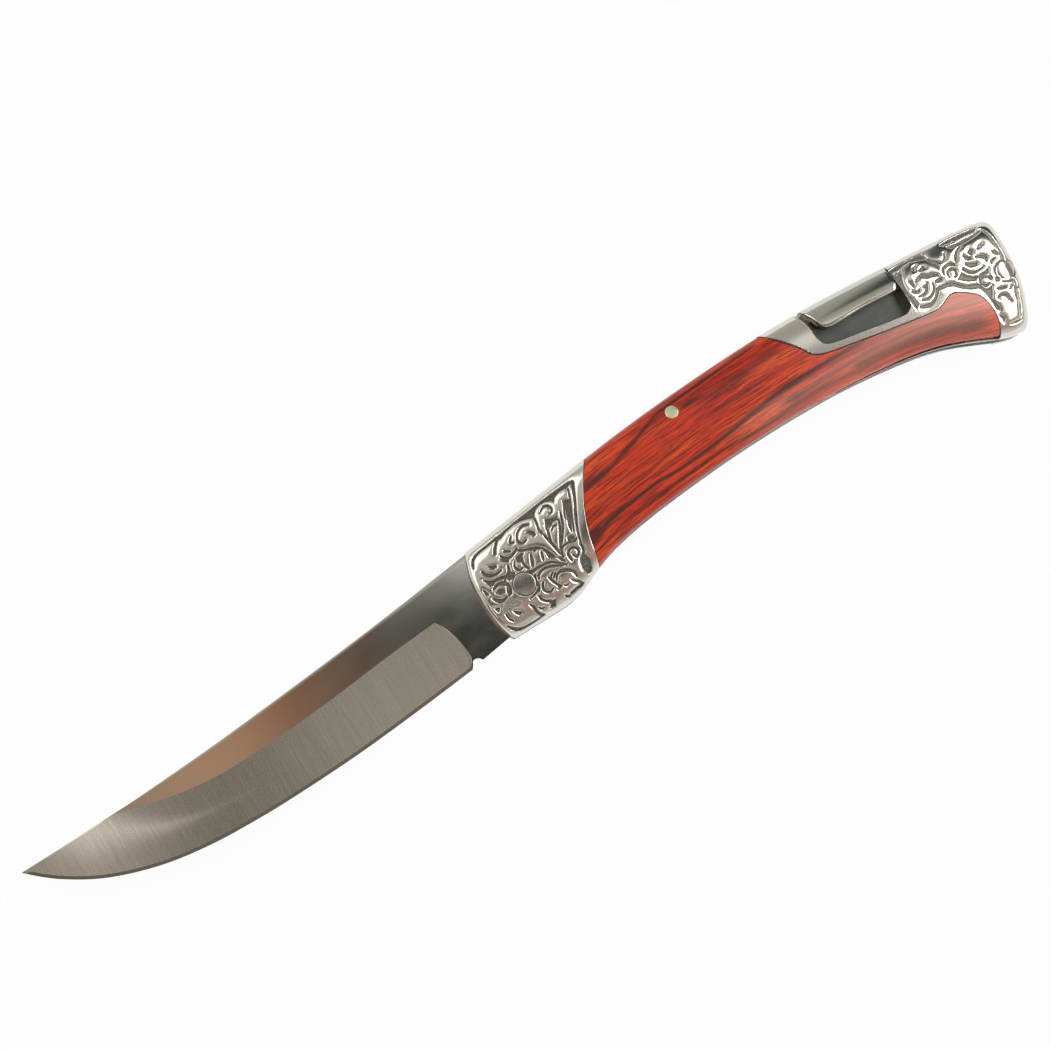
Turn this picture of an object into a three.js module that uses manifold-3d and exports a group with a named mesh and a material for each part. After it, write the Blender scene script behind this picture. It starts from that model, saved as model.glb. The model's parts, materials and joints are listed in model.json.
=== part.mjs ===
// A folding lockback pocket knife with a long slim blade, engraved metal bolsters and
// wooden scales, lying on its right side with the blade open. Millimetres, +Z up.
//
// The knife is drawn in its own plan: the blade pivot is at (0, 0), X runs along the
// handle towards the butt, Y runs from the belly to the back, and Z = 0 is the middle
// of the blade's thickness. The finished group is moved so that the middle of its
// footprint stands at the origin.
import * as THREE from "three";
import { mergeVertices } from "three/addons/utils/BufferGeometryUtils.js";
import Module from "manifold-3d";

const wasm = await Module();
wasm.setup();

// Thicknesses, measured across the handle
const bladeThickness = 2.6;
const washerThickness = 0.25;
const washerPlay = 0.05; // free space between the tang and each washer
const linerThickness = 0.8;
const scaleThickness = 4.6; // a bolster or wooden scale, at its flat middle
const barPlay = 0.2; // free space between the lock bar and each liner
const springPlay = 0.4; // the same for the spring
const recessFloorThickness = 1.0; // metal left under the release window

// Crown of the handle's outside: a rounded section with a flat middle
const crownPower = 2.5; // 2 is an ellipse, more is squarer
const crownWall = 0.22; // upright share of the thickness at the back and belly
const crownFlat = 0.97; // height share above which the section is flat
const buttRound = 3.5; // how far in from the butt the rounding starts
const buttWall = 0.55; // share of the thickness left at the butt's edge
const lipRound = 1.2; // width of the rounding along the front bolster's lip
const lipWall = 0.82; // share of the thickness left at that lip

// Pins and rivets
const pivotPinRadius = 2.3;
const lockPinRadius = 1.35;
const buttPinRadius = 1.15;
const buttHeadRadius = 1.9;
const buttHeadDepth = 2.2;
const springPinRadius = 1.0;
const springPinReach = 1.5; // how deep its ends go into the bolsters
const rivetRadius = 1.1;
const rivetReach = 2.6; // how deep a rivet goes into its bolster
const buttonRivetRadius = 0.55;
const buttonRivetReach = 1.7; // how deep its ends go into the button's cheeks
const runningPlay = 0.1; // radial play of a hole that turns on its pin
const fixedPlay = 0.05; // radial play of a hole round a fixed pin
const washerRadius = 5.2;

// Places in the knife's plan
const lockPin = [43, 14.1];
const buttPin = [115.9, 3.9];
const springPin = [101.6, 11.3];
const frontRivet = [10.5, -1.5];
const rearRivet = [72.5, 14.2];
const buttonRivetDepth = 1.65; // under the handle's back

// Lock: the bar rocks on its pin, and its lug drops into a notch in the tang
const tangRadius = 7.6;
const lugStart = 1.8;
const lugWidth = 2.2;
const lugPlay = 0.3; // room round the lug where it lies in its notch
const lugClearance = 0.15; // between the lug and the tang's round, at rest
const engageAngle = 1.6; // degrees from rest until the lug is seated
const releaseAngle = 2.5; // degrees from rest until the button is fully pressed
const closeAngle = 179.5; // degrees from the open blade to the closed one
const edgeClearance = 0.3; // between the closed blade and what lies over it
const tipClearance = 0.4;

// Button: a cap astride the rear of the lock bar
const capDepth = 2.7; // solid depth of the cap under the handle's back
const capRoof = 0.6; // metal over the bar's tab
const tabGap = 0.2; // between that roof and the tab
const tabLength = 15.6; // from the button's front to the tab's end
const tabDepth = 2.2; // depth left at the tab's end
const slotPlay = 0.1; // between the bar and each cheek of the cap
const skirtPlay = 0.2; // between the cap's skirts and the recess floor
const buttonGap = 0.35; // between the button's ends and the metal before and behind it

// Spring: a leaf that lifts the bar, with a foot that is pinned in the spacer
const leafThickness = 1.0;
const leafGap = 0.1; // between the leaf's tip and the bar
const leafSeat = 1.5; // length of the bar's flat on each side of the leaf's tip
const leafReach = 16.6; // from the spring pin forward to the leaf's tip
const footLength = 6.8;
const footDepth = 3.6;
const footFit = 0.1;

// Fits between pieces that meet on a cut line
const seam = 0.25;
const woodInset = 0.35; // how far the liners stand proud of the wood's edge

// Engraved panels of the bolsters
const engraveDepth = 0.45;
const headSink = 0.05; // how far the pins' ends lie under the crown

// Blade section
const edgeHalf = 0.05; // half thickness at the cutting edge
const shoulderHalf = 0.28; // half thickness where the fine edge bevel starts
const tipHalf = 0.2; // half thickness of the spine at the tip
const fineBevel = 0.7; // height of the fine edge bevel
const grindRows = 22;
const grindOverrun = 0.15; // share of its width that the grind runs on past the edge
const plungeBow = 2.0; // bulge of the grind's end towards the handle
const plungeRun = [0, 0.6, 1.4]; // distances from the grind's end to its full depth
const plungeShare = [-0.02, 0.65, 1]; // shares of the depth there
const tipRun = 1.7; // how far the grind runs out past the tip
const tipSpread = 2.2; // and how far above and below it the grind reaches there

// Curves of the handle's silhouette
const backLine = [
  [-12, 10.85], [-7, 11.5], [10, 13.65], [30, 16.15], [45, 17.45], [60, 18.25], [70, 18.4],
  [82, 18.1], [95, 17.3], [110, 16.2], [118, 15.1], [121, 14.6],
];
const bellyLine = [
  [-12, -8.1], [-6.7, -8.05], [0, -8.0], [5.4, -7.9], [8.4, -7.4], [11.4, -6.4], [15, -4.75],
  [20, -3.1], [27, -1.75], [36, -0.7], [48, 0.25], [60, 0.65], [70, 0.6], [80, 0.15], [90, -1.0],
  [97, -2.6], [103, -4.9], [107.5, -6.9], [110.5, -8.0], [113.5, -8.4], [121, -8.4],
];
const lipLine = [
  [-5.8, 14.5], [-6.8, 11.4], [-8.4, 6.5], [-8.9, 1.0], [-8.6, -3.5], [-7.6, -7.0], [-6.7, -8.3],
  [-6.0, -9.6],
];
const buttLine = [
  [112.4, -9.2], [114.4, -7.7], [115.6, -5.7], [117.1, -1.8], [118.2, 2.5], [118.8, 8.5],
  [118.9, 13.0], [118.2, 14.7], [116.4, 16.4],
];
const buttChord = [[115.4, -6.2], [118.9, 13.0]]; // the straight line that its rounding follows

// Curves where the wood meets the bolsters
const frontBolsterEnd = [
  [14.2, -7.0], [15.3, -2.2], [16.2, 2.0], [18.2, 7.1], [21.6, 12.8], [25.6, 18.2],
];
const rearBolsterEnd = [
  [64.4, 20.2], [67.9, 16.5], [71.4, 12.2], [74.2, 8.8], [81.6, 7.1], [90.4, 5.5], [98.2, 4.3],
  [100.6, 4.4], [103.2, 5.4], [105.4, 4.8], [108.3, 2.3], [109.3, -0.6], [109.2, -4.4],
  [107.2, -9.4],
];

// The release window, and the lower edge of the button
const windowFront = [[73.4, 20.2], [75.0, 17.0], [75.6, 14.2], [75.8, 11.4]];
const windowEnd = 95.65;
const windowCorner = 0.8; // height of the chamfer in its rear corner
const windowFloor = [[77.4, 9.4], [84.5, 8.0], [windowEnd - 3, 6.6], [windowEnd - 1, 6.8]];
const buttonFront = [[74.3, 20.2], [75.4, 18.2], [76.6, 15.8], [77.6, 13.4]];
const buttonHem = [[79.6, 12.3], [87.2, 12.3], [windowEnd - 1, 11.8]];

// Rims of the engraved panels
const frontPanel = [
  [-6.0, 9.2], [0.5, 10.2], [9.0, 11.2], [18.9, 12.6], [16.6, 8.8], [14.6, 4.0], [13.7, -0.3],
  [13.0, -4.2], [10.6, -5.8], [4.2, -6.5], [-5.6, -6.6], [-7.2, -3.2], [-7.5, 1.2], [-7.1, 6.0],
];
const rearPanel = [
  [96.6, 15.6], [96.7, 11.0], [96.6, 6.9], [98.6, 6.2], [100.6, 6.5], [103.0, 7.4], [106.4, 6.9],
  [109.6, 4.4], [111.1, 0.4], [111.2, -4.2], [113.2, -5.9], [114.6, -4.9], [116.0, -1.2],
  [117.2, 4.0], [117.5, 9.0], [117.2, 13.4], [113.0, 14.5], [105.0, 15.3],
];

// Curves of the blade
const tip = [-113.8, 2.9];
const bladeSpine = [
  tip, [-100, 3.2], [-85, 3.8], [-70, 4.7], [-55, 6.0], [-40, 7.45], [-25, 9.1], [-8, 11.25],
  [lugStart - lugPlay, 12.4],
];
const bladeEdge = [
  [-17.3, -9.0], [-30, -10.3], [-45, -11.55], [-60, -12.15], [-70, -12.15], [-80, -11.6],
  [-90, -9.95], [-100, -6.6], [-108, -2.0], tip,
];
const grindLine = [
  [-19, 2.9], [-31, 1.9], [-45, 0.4], [-58, -0.5], [-70, -0.8], [-79, 0.1], [-86, 1.7],
  [-92.5, 3.45],
];
const choil = [-15.9, -8.9];
const choilRadius = 1.4;
const kick = [[-14.5, -8.4], [-6.2, -7.1]];

// Levels, outwards from the middle of the blade
const channelHalf = bladeThickness / 2 + washerPlay + washerThickness;
const linerOut = channelHalf + linerThickness;
const outside = linerOut + scaleThickness;
const recessFloor = linerOut + recessFloorThickness;
const barHalf = channelHalf - barPlay;
const through = outside + 3; // higher than any piece, for tools that cut right through
const rivetEnd = barHalf + slotPlay + buttonRivetReach;

const pivot = [0, 0];
const above = 2 * Math.max(...backLine.map(([, y]) => y)); // well past the handle's back
const below = 2 * Math.min(...bellyLine.map(([, y]) => y)); // and its belly

const steel = { color: 0xb4b2ad, metalness: 1, roughness: 0.26 };
const bladeSteel = { color: 0x8e8a85, metalness: 1, roughness: 0.34 };
const springSteel = { color: 0x6f6d6a, metalness: 1, roughness: 0.4 };
const bronze = { color: 0xb08a4e, metalness: 1, roughness: 0.4 };
const pinMetal = { color: 0xcfc49a, metalness: 1, roughness: 0.3 };
const wood = { color: 0xa8361c, metalness: 0, roughness: 0.35 };

// Plane geometry
const radians = THREE.MathUtils.degToRad;

// The points of a smooth curve through a few given ones
function smooth(points, steps = 2) {
  const curve = new THREE.SplineCurve(points.map(([x, y]) => new THREE.Vector2(x, y)));
  return curve.getPoints(steps * (points.length - 1)).map((p) => [p.x, p.y]);
}

// The height of a curve that runs along X, at one place
function heightOf(line, x) {
  const points = line[0][0] < line[line.length - 1][0] ? line : [...line].reverse();
  const next = points.findIndex((point) => point[0] >= x);
  const i = next < 1 ? (next === 0 ? 1 : points.length - 1) : next;
  const [x0, y0] = points[i - 1];
  const [x1, y1] = points[i];
  return y0 + ((y1 - y0) * (x - x0)) / (x1 - x0);
}

// A curve moved sideways, to the left of its own direction
function shifted(points, distance) {
  return points.map(([x, y], i) => {
    const [ax, ay] = points[Math.max(i - 1, 0)];
    const [bx, by] = points[Math.min(i + 1, points.length - 1)];
    const length = Math.hypot(bx - ax, by - ay);
    return [x - ((by - ay) / length) * distance, y + ((bx - ax) / length) * distance];
  });
}

const lifted = (points, height) => points.map(([x, y]) => [x, y + height]);

function turned(points, degrees) {
  const [c, s] = [Math.cos(radians(degrees)), Math.sin(radians(degrees))];
  return points.map(([x, y]) => [x * c - y * s, x * s + y * c]);
}

// The part of a curve between two places along X, with its ends cut there
function between(line, from, to) {
  const inside = line.filter(([x]) => x > from && x < to);
  return [[from, heightOf(line, from)], ...inside, [to, heightOf(line, to)]];
}

// The point at a share of a curve's length
function pointAlong(points, share) {
  const steps = points.slice(1).map(([x, y], i) => Math.hypot(x - points[i][0], y - points[i][1]));
  let left = share * steps.reduce((sum, step) => sum + step, 0);
  const i = steps.findIndex((step) => (left -= step) <= 1e-9);
  const t = 1 + left / steps[i];
  return points[i].map((value, axis) => value + (points[i + 1][axis] - value) * t);
}

// Distance to the left of a straight line
function besideLine([[ax, ay], [bx, by]], x, y) {
  return ((bx - ax) * (y - ay) - (by - ay) * (x - ax)) / Math.hypot(bx - ax, by - ay);
}

const back = smooth(backLine);
const belly = smooth(bellyLine);
const lip = smooth(lipLine);
const butt = smooth(buttLine);
const spine = smooth(bladeSpine);
const edge = smooth(bladeEdge, 3);
const grind = smooth(grindLine);
const lipAcross = lip.map(([x, y]) => [y, x]);
const closedBlade = turned([...[...kick].reverse(), ...edge], closeAngle);
const tabStart = buttonFront[1][0] - buttonGap;
const tabEnd = tabStart + tabLength;
const tabMiddle = (tabStart + tabEnd) / 2;
const buttonRivet = [tabMiddle, heightOf(back, tabMiddle) - buttonRivetDepth];

// Solids
function solidFrom(positions, index) {
  return new wasm.Manifold(
    new wasm.Mesh({
      numProp: 3,
      vertProperties: new Float32Array(positions),
      triVerts: new Uint32Array(index),
    }),
  );
}

function solidOf(geometry) {
  geometry.deleteAttribute("normal");
  geometry.deleteAttribute("uv");
  const merged = mergeVertices(geometry, 1e-4);
  return solidFrom(merged.attributes.position.array, merged.index.array);
}

// The other side's copy of a piece
function mirrored(solid) {
  const mesh = solid.getMesh();
  const positions = mesh.vertProperties.map((value, i) => (i % 3 === 2 ? -value : value));
  const index = mesh.triVerts.map((_, i, all) => all[i - (i % 3) + [0, 2, 1][i % 3]]);
  return solidFrom(positions, index);
}

const bothSides = (solid) => solid.add(mirrored(solid));

function geometryOf(solid) {
  const mesh = solid.getMesh();
  const geometry = new THREE.BufferGeometry();
  geometry.setAttribute("position", new THREE.BufferAttribute(mesh.vertProperties, 3));
  geometry.setIndex(new THREE.BufferAttribute(mesh.triVerts, 1));
  geometry.computeVertexNormals();
  return geometry;
}

// A flat outline raised from one level to another
function plate(points, from = 0, to = through) {
  const shape = new THREE.Shape(points.map(([x, y]) => new THREE.Vector2(x, y)));
  const geometry = new THREE.ExtrudeGeometry(shape, { depth: to - from, bevelEnabled: false });
  return solidOf(geometry.translate(0, 0, from));
}

// A round bar along Z
function rod([x, y], radius, from = -through, to = through, sides = 16) {
  const geometry = new THREE.CylinderGeometry(radius, radius, to - from, sides);
  return solidOf(geometry.rotateX(Math.PI / 2).translate(x, y, (from + to) / 2));
}

// A solid between a flat floor and the sheet pointAt(i, j) = [x, y, z]
function sheetSolid(rows, columns, floor, pointAt) {
  const positions = [];
  const index = [];
  const at = (i, j, level) => (level * (rows + 1) + i) * (columns + 1) + j;
  const quad = (a, b, c, d) => index.push(a, b, c, a, c, d);
  for (const level of [0, 1])
    for (let i = 0; i <= rows; i++)
      for (let j = 0; j <= columns; j++) {
        const [x, y, z] = pointAt(i, j);
        positions.push(x, y, level ? z : floor);
      }
  for (let i = 0; i < rows; i++)
    for (let j = 0; j < columns; j++) {
      quad(at(i, j, 1), at(i + 1, j, 1), at(i + 1, j + 1, 1), at(i, j + 1, 1));
      quad(at(i, j, 0), at(i, j + 1, 0), at(i + 1, j + 1, 0), at(i + 1, j, 0));
    }
  for (let i = 0; i < rows; i++) {
    quad(at(i, 0, 0), at(i + 1, 0, 0), at(i + 1, 0, 1), at(i, 0, 1));
    quad(at(i + 1, columns, 0), at(i, columns, 0), at(i, columns, 1), at(i + 1, columns, 1));
  }
  for (let j = 0; j < columns; j++) {
    quad(at(0, j + 1, 0), at(0, j, 0), at(0, j, 1), at(0, j + 1, 1));
    quad(at(rows, j, 0), at(rows, j + 1, 0), at(rows, j + 1, 1), at(rows, j, 1));
  }
  return solidFrom(positions, index);
}

// Height share of a rounded edge, at a distance in from it
function rounding(distance, width, wall) {
  const share = THREE.MathUtils.clamp(distance / width, 0, 1);
  return wall + (1 - wall) * Math.sqrt(1 - (1 - share) ** 2);
}

// Height share of the handle's crown at a place, 1 on its flat middle
function crown(x, y, across) {
  const round = (1 - Math.abs(across) ** crownPower) ** (1 / crownPower);
  const section = Math.min(1, (crownWall + (1 - crownWall) * round) / crownFlat);
  const buttShare = rounding(besideLine(buttChord, x, y), buttRound, buttWall);
  const lipShare = rounding(x - heightOf(lipAcross, y), lipRound, lipWall);
  return section * buttShare * lipShare;
}

// One side of the handle as a crowned slab
function crownedSlab(floor = linerOut, lowered = 0) {
  const across = [-1, -0.98, -0.91, -0.78, -0.6, -0.38, 0.38, 0.6, 0.78, 0.91, 0.98, 1];
  const fine = 0.8;
  const coarse = 4;
  const last = backLine[backLine.length - 1][0];
  const along = [backLine[0][0]];
  while (along[along.length - 1] < last) {
    const x = along[along.length - 1];
    const rounded = x < lipLine[0][0] + lipRound || x > buttChord[0][0] - buttRound;
    along.push(Math.min(x + (rounded ? fine : coarse), last));
  }
  return sheetSolid(along.length - 1, across.length - 1, floor, (i, j) => {
    const x = along[i];
    const [low, high] = [heightOf(belly, x), heightOf(back, x)];
    const y = low + ((across[j] + 1) / 2) * (high - low);
    return [x, y, linerOut + scaleThickness * crown(x, y, across[j]) - lowered];
  });
}

// Outlines
const endsOutline = [
  ...lip, [lip[lip.length - 1][0], below], [butt[0][0], below],
  ...butt, [butt[butt.length - 1][0], above], [lip[0][0], above],
];
const bandOutline = (inset) => [...lifted(belly, inset), ...lifted(back, -inset).reverse()];
const rectangle = (x0, y0, x1, y1) => [[x0, y0], [x1, y0], [x1, y1], [x0, y1]];

// Everything in front of the wood, and behind it, each reaching a little further if grown
function frontOutline(grown) {
  const end = shifted(smooth(frontBolsterEnd), -grown);
  const front = backLine[0][0] - 1;
  return [...end, [front, above], [front, below], [end[0][0], below]];
}
function rearOutline(grown) {
  const end = shifted(smooth(rearBolsterEnd), -grown);
  const far = backLine[backLine.length - 1][0] + 1;
  return [...end, [end[end.length - 1][0], below], [far, below], [far, above], [end[0][0], above]];
}

// An open curve, with a chamfered corner where it meets an upright end, closed high above
function openToBack(curve, end, corner) {
  const [[firstX], [, lastY]] = [curve[0], curve[curve.length - 1]];
  return [...curve, [end, lastY + corner], [end, above], [firstX, above]];
}
const windowOutline = openToBack(smooth([...windowFront, ...windowFloor]), windowEnd, windowCorner);
const buttonEnd = windowEnd - buttonGap;
const buttonOutline = openToBack(smooth([...buttonFront, ...buttonHem]), buttonEnd, windowCorner);

// How far the lock bar's lower side comes down at a place along it, over its whole travel
function barTravel(x) {
  const angle = x < lockPin[0] ? engageAngle : releaseAngle;
  return Math.abs(x - lockPin[0]) * Math.tan(radians(angle));
}

// The lowest that a piece of the bar or spring may lie, to clear the closed blade
const lowestAt = (x) => heightOf(closedBlade, x) + edgeClearance + barTravel(x);
const leafEnd = springPin[0] - leafReach;
const leafBottom = lowestAt(leafEnd);

// Tools that several pieces are cut with
const ends = plate(endsOutline, -through);
const crowned = crownedSlab().intersect(ends);
const crownedToMiddle = crownedSlab(0).intersect(ends);
const pinEnds = crownedSlab(0, headSink);
const pressedRoom = between(back, windowFront[0][0], windowEnd)
  .map(([x, y]) => [x, y - capDepth - barTravel(x) - edgeClearance]);
const well = plate(windowOutline)
  .intersect(plate([...pressedRoom, [windowEnd, above], [windowFront[0][0], above]]));

const band = (from, to) => plate(bandOutline(0), from, to).intersect(ends);

// A pin whose two ends follow the crown of the handle
const crownedPin = (place, radius) => bothSides(rod(place, radius, 0).intersect(pinEnds));

function liner() {
  return band(channelHalf, linerOut)
    .subtract(well)
    .subtract(rod(pivot, pivotPinRadius + fixedPlay))
    .subtract(rod(lockPin, lockPinRadius + fixedPlay))
    .subtract(rod(buttPin, buttPinRadius + fixedPlay))
    .subtract(rod(springPin, springPinRadius + fixedPlay))
    .subtract(rod(frontRivet, rivetRadius + fixedPlay))
    .subtract(rod(rearRivet, rivetRadius + fixedPlay));
}

// A piece with a panel sunk into its crown
function engraved(piece, panel) {
  const rim = plate(smooth([...panel, panel[0]], 2), linerOut);
  return piece.subtract(rim.subtract(crownedSlab(0, engraveDepth)));
}

function frontBolster() {
  return engraved(crowned.intersect(plate(frontOutline(0))), frontPanel)
    .subtract(rod(pivot, pivotPinRadius + fixedPlay))
    .subtract(rod(frontRivet, rivetRadius + fixedPlay, 0, linerOut + rivetReach + fixedPlay));
}

function rearBolster() {
  const pinReach = linerOut + springPinReach + fixedPlay;
  return engraved(crowned.intersect(plate(rearOutline(0))), rearPanel)
    .subtract(plate(windowOutline, recessFloor))
    .subtract(well)
    .subtract(rod(rearRivet, rivetRadius + fixedPlay, 0, linerOut + rivetReach + fixedPlay))
    .subtract(rod(springPin, springPinRadius + fixedPlay, 0, pinReach))
    .subtract(rod(buttPin, buttPinRadius + fixedPlay))
    .subtract(rod(buttPin, buttHeadRadius + fixedPlay, outside - buttHeadDepth - fixedPlay));
}

function scale() {
  return crowned
    .intersect(plate(bandOutline(woodInset)))
    .subtract(plate(frontOutline(seam)))
    .subtract(plate(rearOutline(seam)))
    .subtract(rod(lockPin, lockPinRadius + fixedPlay));
}

// A pin with a wider head at each end
function headedPin() {
  const headBottom = outside - buttHeadDepth;
  const shankEnd = headBottom + fixedPlay;
  const head = rod(buttPin, buttHeadRadius, headBottom).intersect(pinEnds);
  return rod(buttPin, buttPinRadius, -shankEnd, shankEnd).add(head).add(mirrored(head));
}

// The grind of one side, as the block that it takes off the bar stock
function grindBlock() {
  const half = bladeThickness / 2;
  const grindTip = grindLine[grindLine.length - 1][0];
  const beyond = tip[0] - tipRun;
  const spineStretch = between(spine, tip[0], grindTip - tipRun).reverse();
  const upper = [...grind, ...spineStretch, [beyond, tip[1] + tipSpread]];
  const lower = [...edge.slice(0, -2), [beyond, tip[1] - tipSpread]];
  const heel = plungeRun.length - 1;
  return sheetSolid(grindRows + heel, 5, -through, (i, j) => {
    const share = Math.max(0, i - heel) / grindRows;
    const [gx, gy] = pointAlong(upper, share);
    const [ex, ey] = pointAlong(lower, share);
    const width = Math.max(Math.hypot(ex - gx, ey - gy), 2 * fineBevel);
    const shoulder = 1 - fineBevel / width;
    const t = [-2 * grindOverrun, 0, shoulder / 2, shoulder, 1, 1 + grindOverrun][j];
    const thinning = THREE.MathUtils.clamp((gx - beyond) / (grindTip - beyond), 0, 1);
    const start = THREE.MathUtils.lerp(tipHalf, half, thinning);
    const flank = start + ((shoulderHalf - start) * t) / shoulder;
    const fine = shoulderHalf + ((edgeHalf - shoulderHalf) * (t - shoulder)) / (1 - shoulder);
    const full = t > shoulder ? fine : flank;
    const z = i > heel ? full : half + plungeShare[i] * (full - half);
    const bow = i > heel ? 0 : plungeBow * 4 * Math.max(0, t * (1 - t)) - plungeRun[i];
    return [gx + (ex - gx) * t + bow, gy + (ey - gy) * t, -z];
  });
}

// The room that the lug needs in the tang, where it lies with the blade at an angle
function lugRoom(bladeAngle) {
  const drop = (lockPin[0] - lugStart) * Math.tan(radians(engageAngle));
  const floorRadius = tangRadius + lugClearance - drop - lugPlay;
  const slot = rectangle(lugStart - lugPlay, 0, lugStart + lugWidth + 2 * lugPlay, above);
  return plate(turned(slot, -bladeAngle), -through).subtract(rod(pivot, floorRadius));
}

function blade() {
  const half = bladeThickness / 2;
  const notchFront = [lugStart - lugPlay, 0];
  const outline = [...spine, notchFront, ...[...kick].reverse(), ...edge.slice(0, -1)];
  const grinding = grindBlock();
  return plate(outline, -half, half)
    .add(rod(pivot, tangRadius, -half, half, 56))
    .subtract(lugRoom(0))
    .subtract(lugRoom(closeAngle))
    .subtract(rod(choil, choilRadius))
    .subtract(grinding)
    .subtract(mirrored(grinding))
    .subtract(rod(pivot, pivotPinRadius + runningPlay));
}

function lockBar() {
  const tabTop = lifted(back, -capRoof - tabGap);
  const lugEnd = lugStart + lugWidth;
  const lugTip = (x) => [x, Math.sqrt((tangRadius + lugClearance) ** 2 - x ** 2)];
  const overLeaf = leafBottom + leafThickness + leafGap;
  const underside = between(closedBlade, lugEnd, leafEnd - leafSeat).map(([x]) => [x, lowestAt(x)]);
  const outline = [
    lugTip(lugStart), lugTip(lugEnd), ...underside,
    [leafEnd - leafSeat, overLeaf], [leafEnd + leafSeat, overLeaf],
    [tabEnd, heightOf(tabTop, tabEnd) - tabDepth],
    ...between(tabTop, tabStart, tabEnd).reverse(),
    ...between(back, lugStart, tabStart).reverse(),
  ];
  return plate(outline, -barHalf, barHalf)
    .subtract(rod(lockPin, lockPinRadius + runningPlay))
    .subtract(rod(buttonRivet, buttonRivetRadius + fixedPlay));
}

// A cap with a cheek on each side of the bar, and a skirt over each recess floor
function lockButton() {
  const [from, to] = [buttonFront[0][0] - 1, windowEnd + 1];
  const underBack = (depth) => [...between(lifted(back, -depth), from, to), [to, below], [from, below]];
  const cheek = barHalf + slotPlay;
  return bothSides(
    crownedToMiddle
      .intersect(plate(buttonOutline))
      .subtract(plate(underBack(capDepth), -1, recessFloor + skirtPlay))
      .subtract(plate(underBack(capRoof), -1, cheek)),
  ).subtract(rod(buttonRivet, buttonRivetRadius + fixedPlay, -rivetEnd - fixedPlay, rivetEnd + fixedPlay));
}

// The foot of the spring, grown by a clearance and reaching forward to a place
function footOutline(grown, front = springPin[0] - footLength / 2) {
  const [x, y] = [springPin[0] + footLength / 2 + grown, footDepth / 2 + grown];
  return rectangle(front, springPin[1] - y, x, springPin[1] + y);
}

function lockSpring() {
  const half = channelHalf - springPlay;
  const root = springPin[0] - footLength / 2;
  const leaf = [
    [leafEnd, leafBottom], [root, springPin[1] - leafThickness / 2], [root + 1, springPin[1]],
    [root, springPin[1] + leafThickness / 2], [leafEnd, leafBottom + leafThickness],
  ];
  return plate(leaf, -half, half)
    .add(plate(footOutline(0), -half, half))
    .subtract(rod(springPin, springPinRadius + fixedPlay));
}

// The block between the liners at the butt, hollowed for the closed blade
function backSpacer() {
  const reach = Math.hypot(...tip) + tipClearance;
  const closedTip = closedBlade[closedBlade.length - 1];
  const over = lifted(between(closedBlade, windowEnd - 1, closedTip[0]), edgeClearance);
  const start = Math.asin((closedTip[1] + edgeClearance) / reach);
  const end = Math.asin(below / reach);
  const arc = new THREE.EllipseCurve(0, 0, reach, reach, start, end, true);
  const wall = arc.getPoints(12).map(({ x, y }) => [x, y]);
  const room = [...over, ...wall, [windowEnd - 1, below]];
  return band(-channelHalf, channelHalf)
    .intersect(plate(rectangle(windowEnd, below, backLine[backLine.length - 1][0], above), -through))
    .subtract(plate(room, -through))
    .subtract(plate(footOutline(footFit, windowEnd - 1), -through))
    .subtract(rod(springPin, springPinRadius + fixedPlay))
    .subtract(rod(buttPin, buttPinRadius + fixedPlay));
}

// Assembly: the blade and the lock each turn in a group of their own
const knife = new THREE.Group();
const handle = new THREE.Group();
const bladeTurn = new THREE.Group();
const lockTurn = new THREE.Group();
lockTurn.position.set(...lockPin, 0);
knife.add(handle, bladeTurn, lockTurn);

function addPiece(parent, name, solid, finish, level = 0) {
  const geometry = geometryOf(solid).translate(-parent.position.x, -parent.position.y, 0);
  const mesh = new THREE.Mesh(geometry, new THREE.MeshStandardMaterial(finish));
  mesh.name = name;
  mesh.position.z = level;
  parent.add(mesh);
}

// A piece for each side of the handle, drawn for the upper one
function addPair(name, solid, finish) {
  addPiece(handle, `${name}_left`, solid, finish);
  addPiece(handle, `${name}_right`, mirrored(solid), finish);
}

addPiece(bladeTurn, "blade", blade(), bladeSteel);
addPiece(lockTurn, "lock_bar", lockBar(), springSteel);
addPiece(lockTurn, "lock_button", lockButton(), steel);
addPiece(lockTurn, "button_rivet", rod(buttonRivet, buttonRivetRadius, -rivetEnd, rivetEnd), pinMetal);
addPiece(handle, "lock_spring", lockSpring(), springSteel);
addPiece(handle, "back_spacer", backSpacer(), steel);
addPair("liner", liner(), steel);
addPair("front_bolster", frontBolster(), steel);
addPair("rear_bolster", rearBolster(), steel);
addPair("scale", scale(), wood);
addPiece(handle, "pivot_pin", crownedPin(pivot, pivotPinRadius), steel);
addPiece(handle, "lock_bar_pin", crownedPin(lockPin, lockPinRadius), pinMetal);
addPiece(handle, "butt_pin", headedPin(), steel);
const springPinEnd = linerOut + springPinReach;
addPiece(handle, "spring_pin", rod(springPin, springPinRadius, -springPinEnd, springPinEnd), pinMetal);
addPair("front_rivet", rod(frontRivet, rivetRadius, channelHalf, linerOut + rivetReach), pinMetal);
addPair("rear_rivet", rod(rearRivet, rivetRadius, channelHalf, linerOut + rivetReach), pinMetal);
const washer = rod(pivot, washerRadius, channelHalf - washerThickness, channelHalf, 28)
  .subtract(rod(pivot, pivotPinRadius + fixedPlay));
addPair("pivot_washer", washer, bronze);

const box = new THREE.Box3().setFromObject(knife);
const middle = box.getCenter(new THREE.Vector3());
knife.position.set(-middle.x, -middle.y, -box.min.z);

export default knife;
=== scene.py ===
import json
import math
import bmesh
import bpy
import numpy as np
from mathutils import Matrix, Quaternion, Vector


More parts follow.
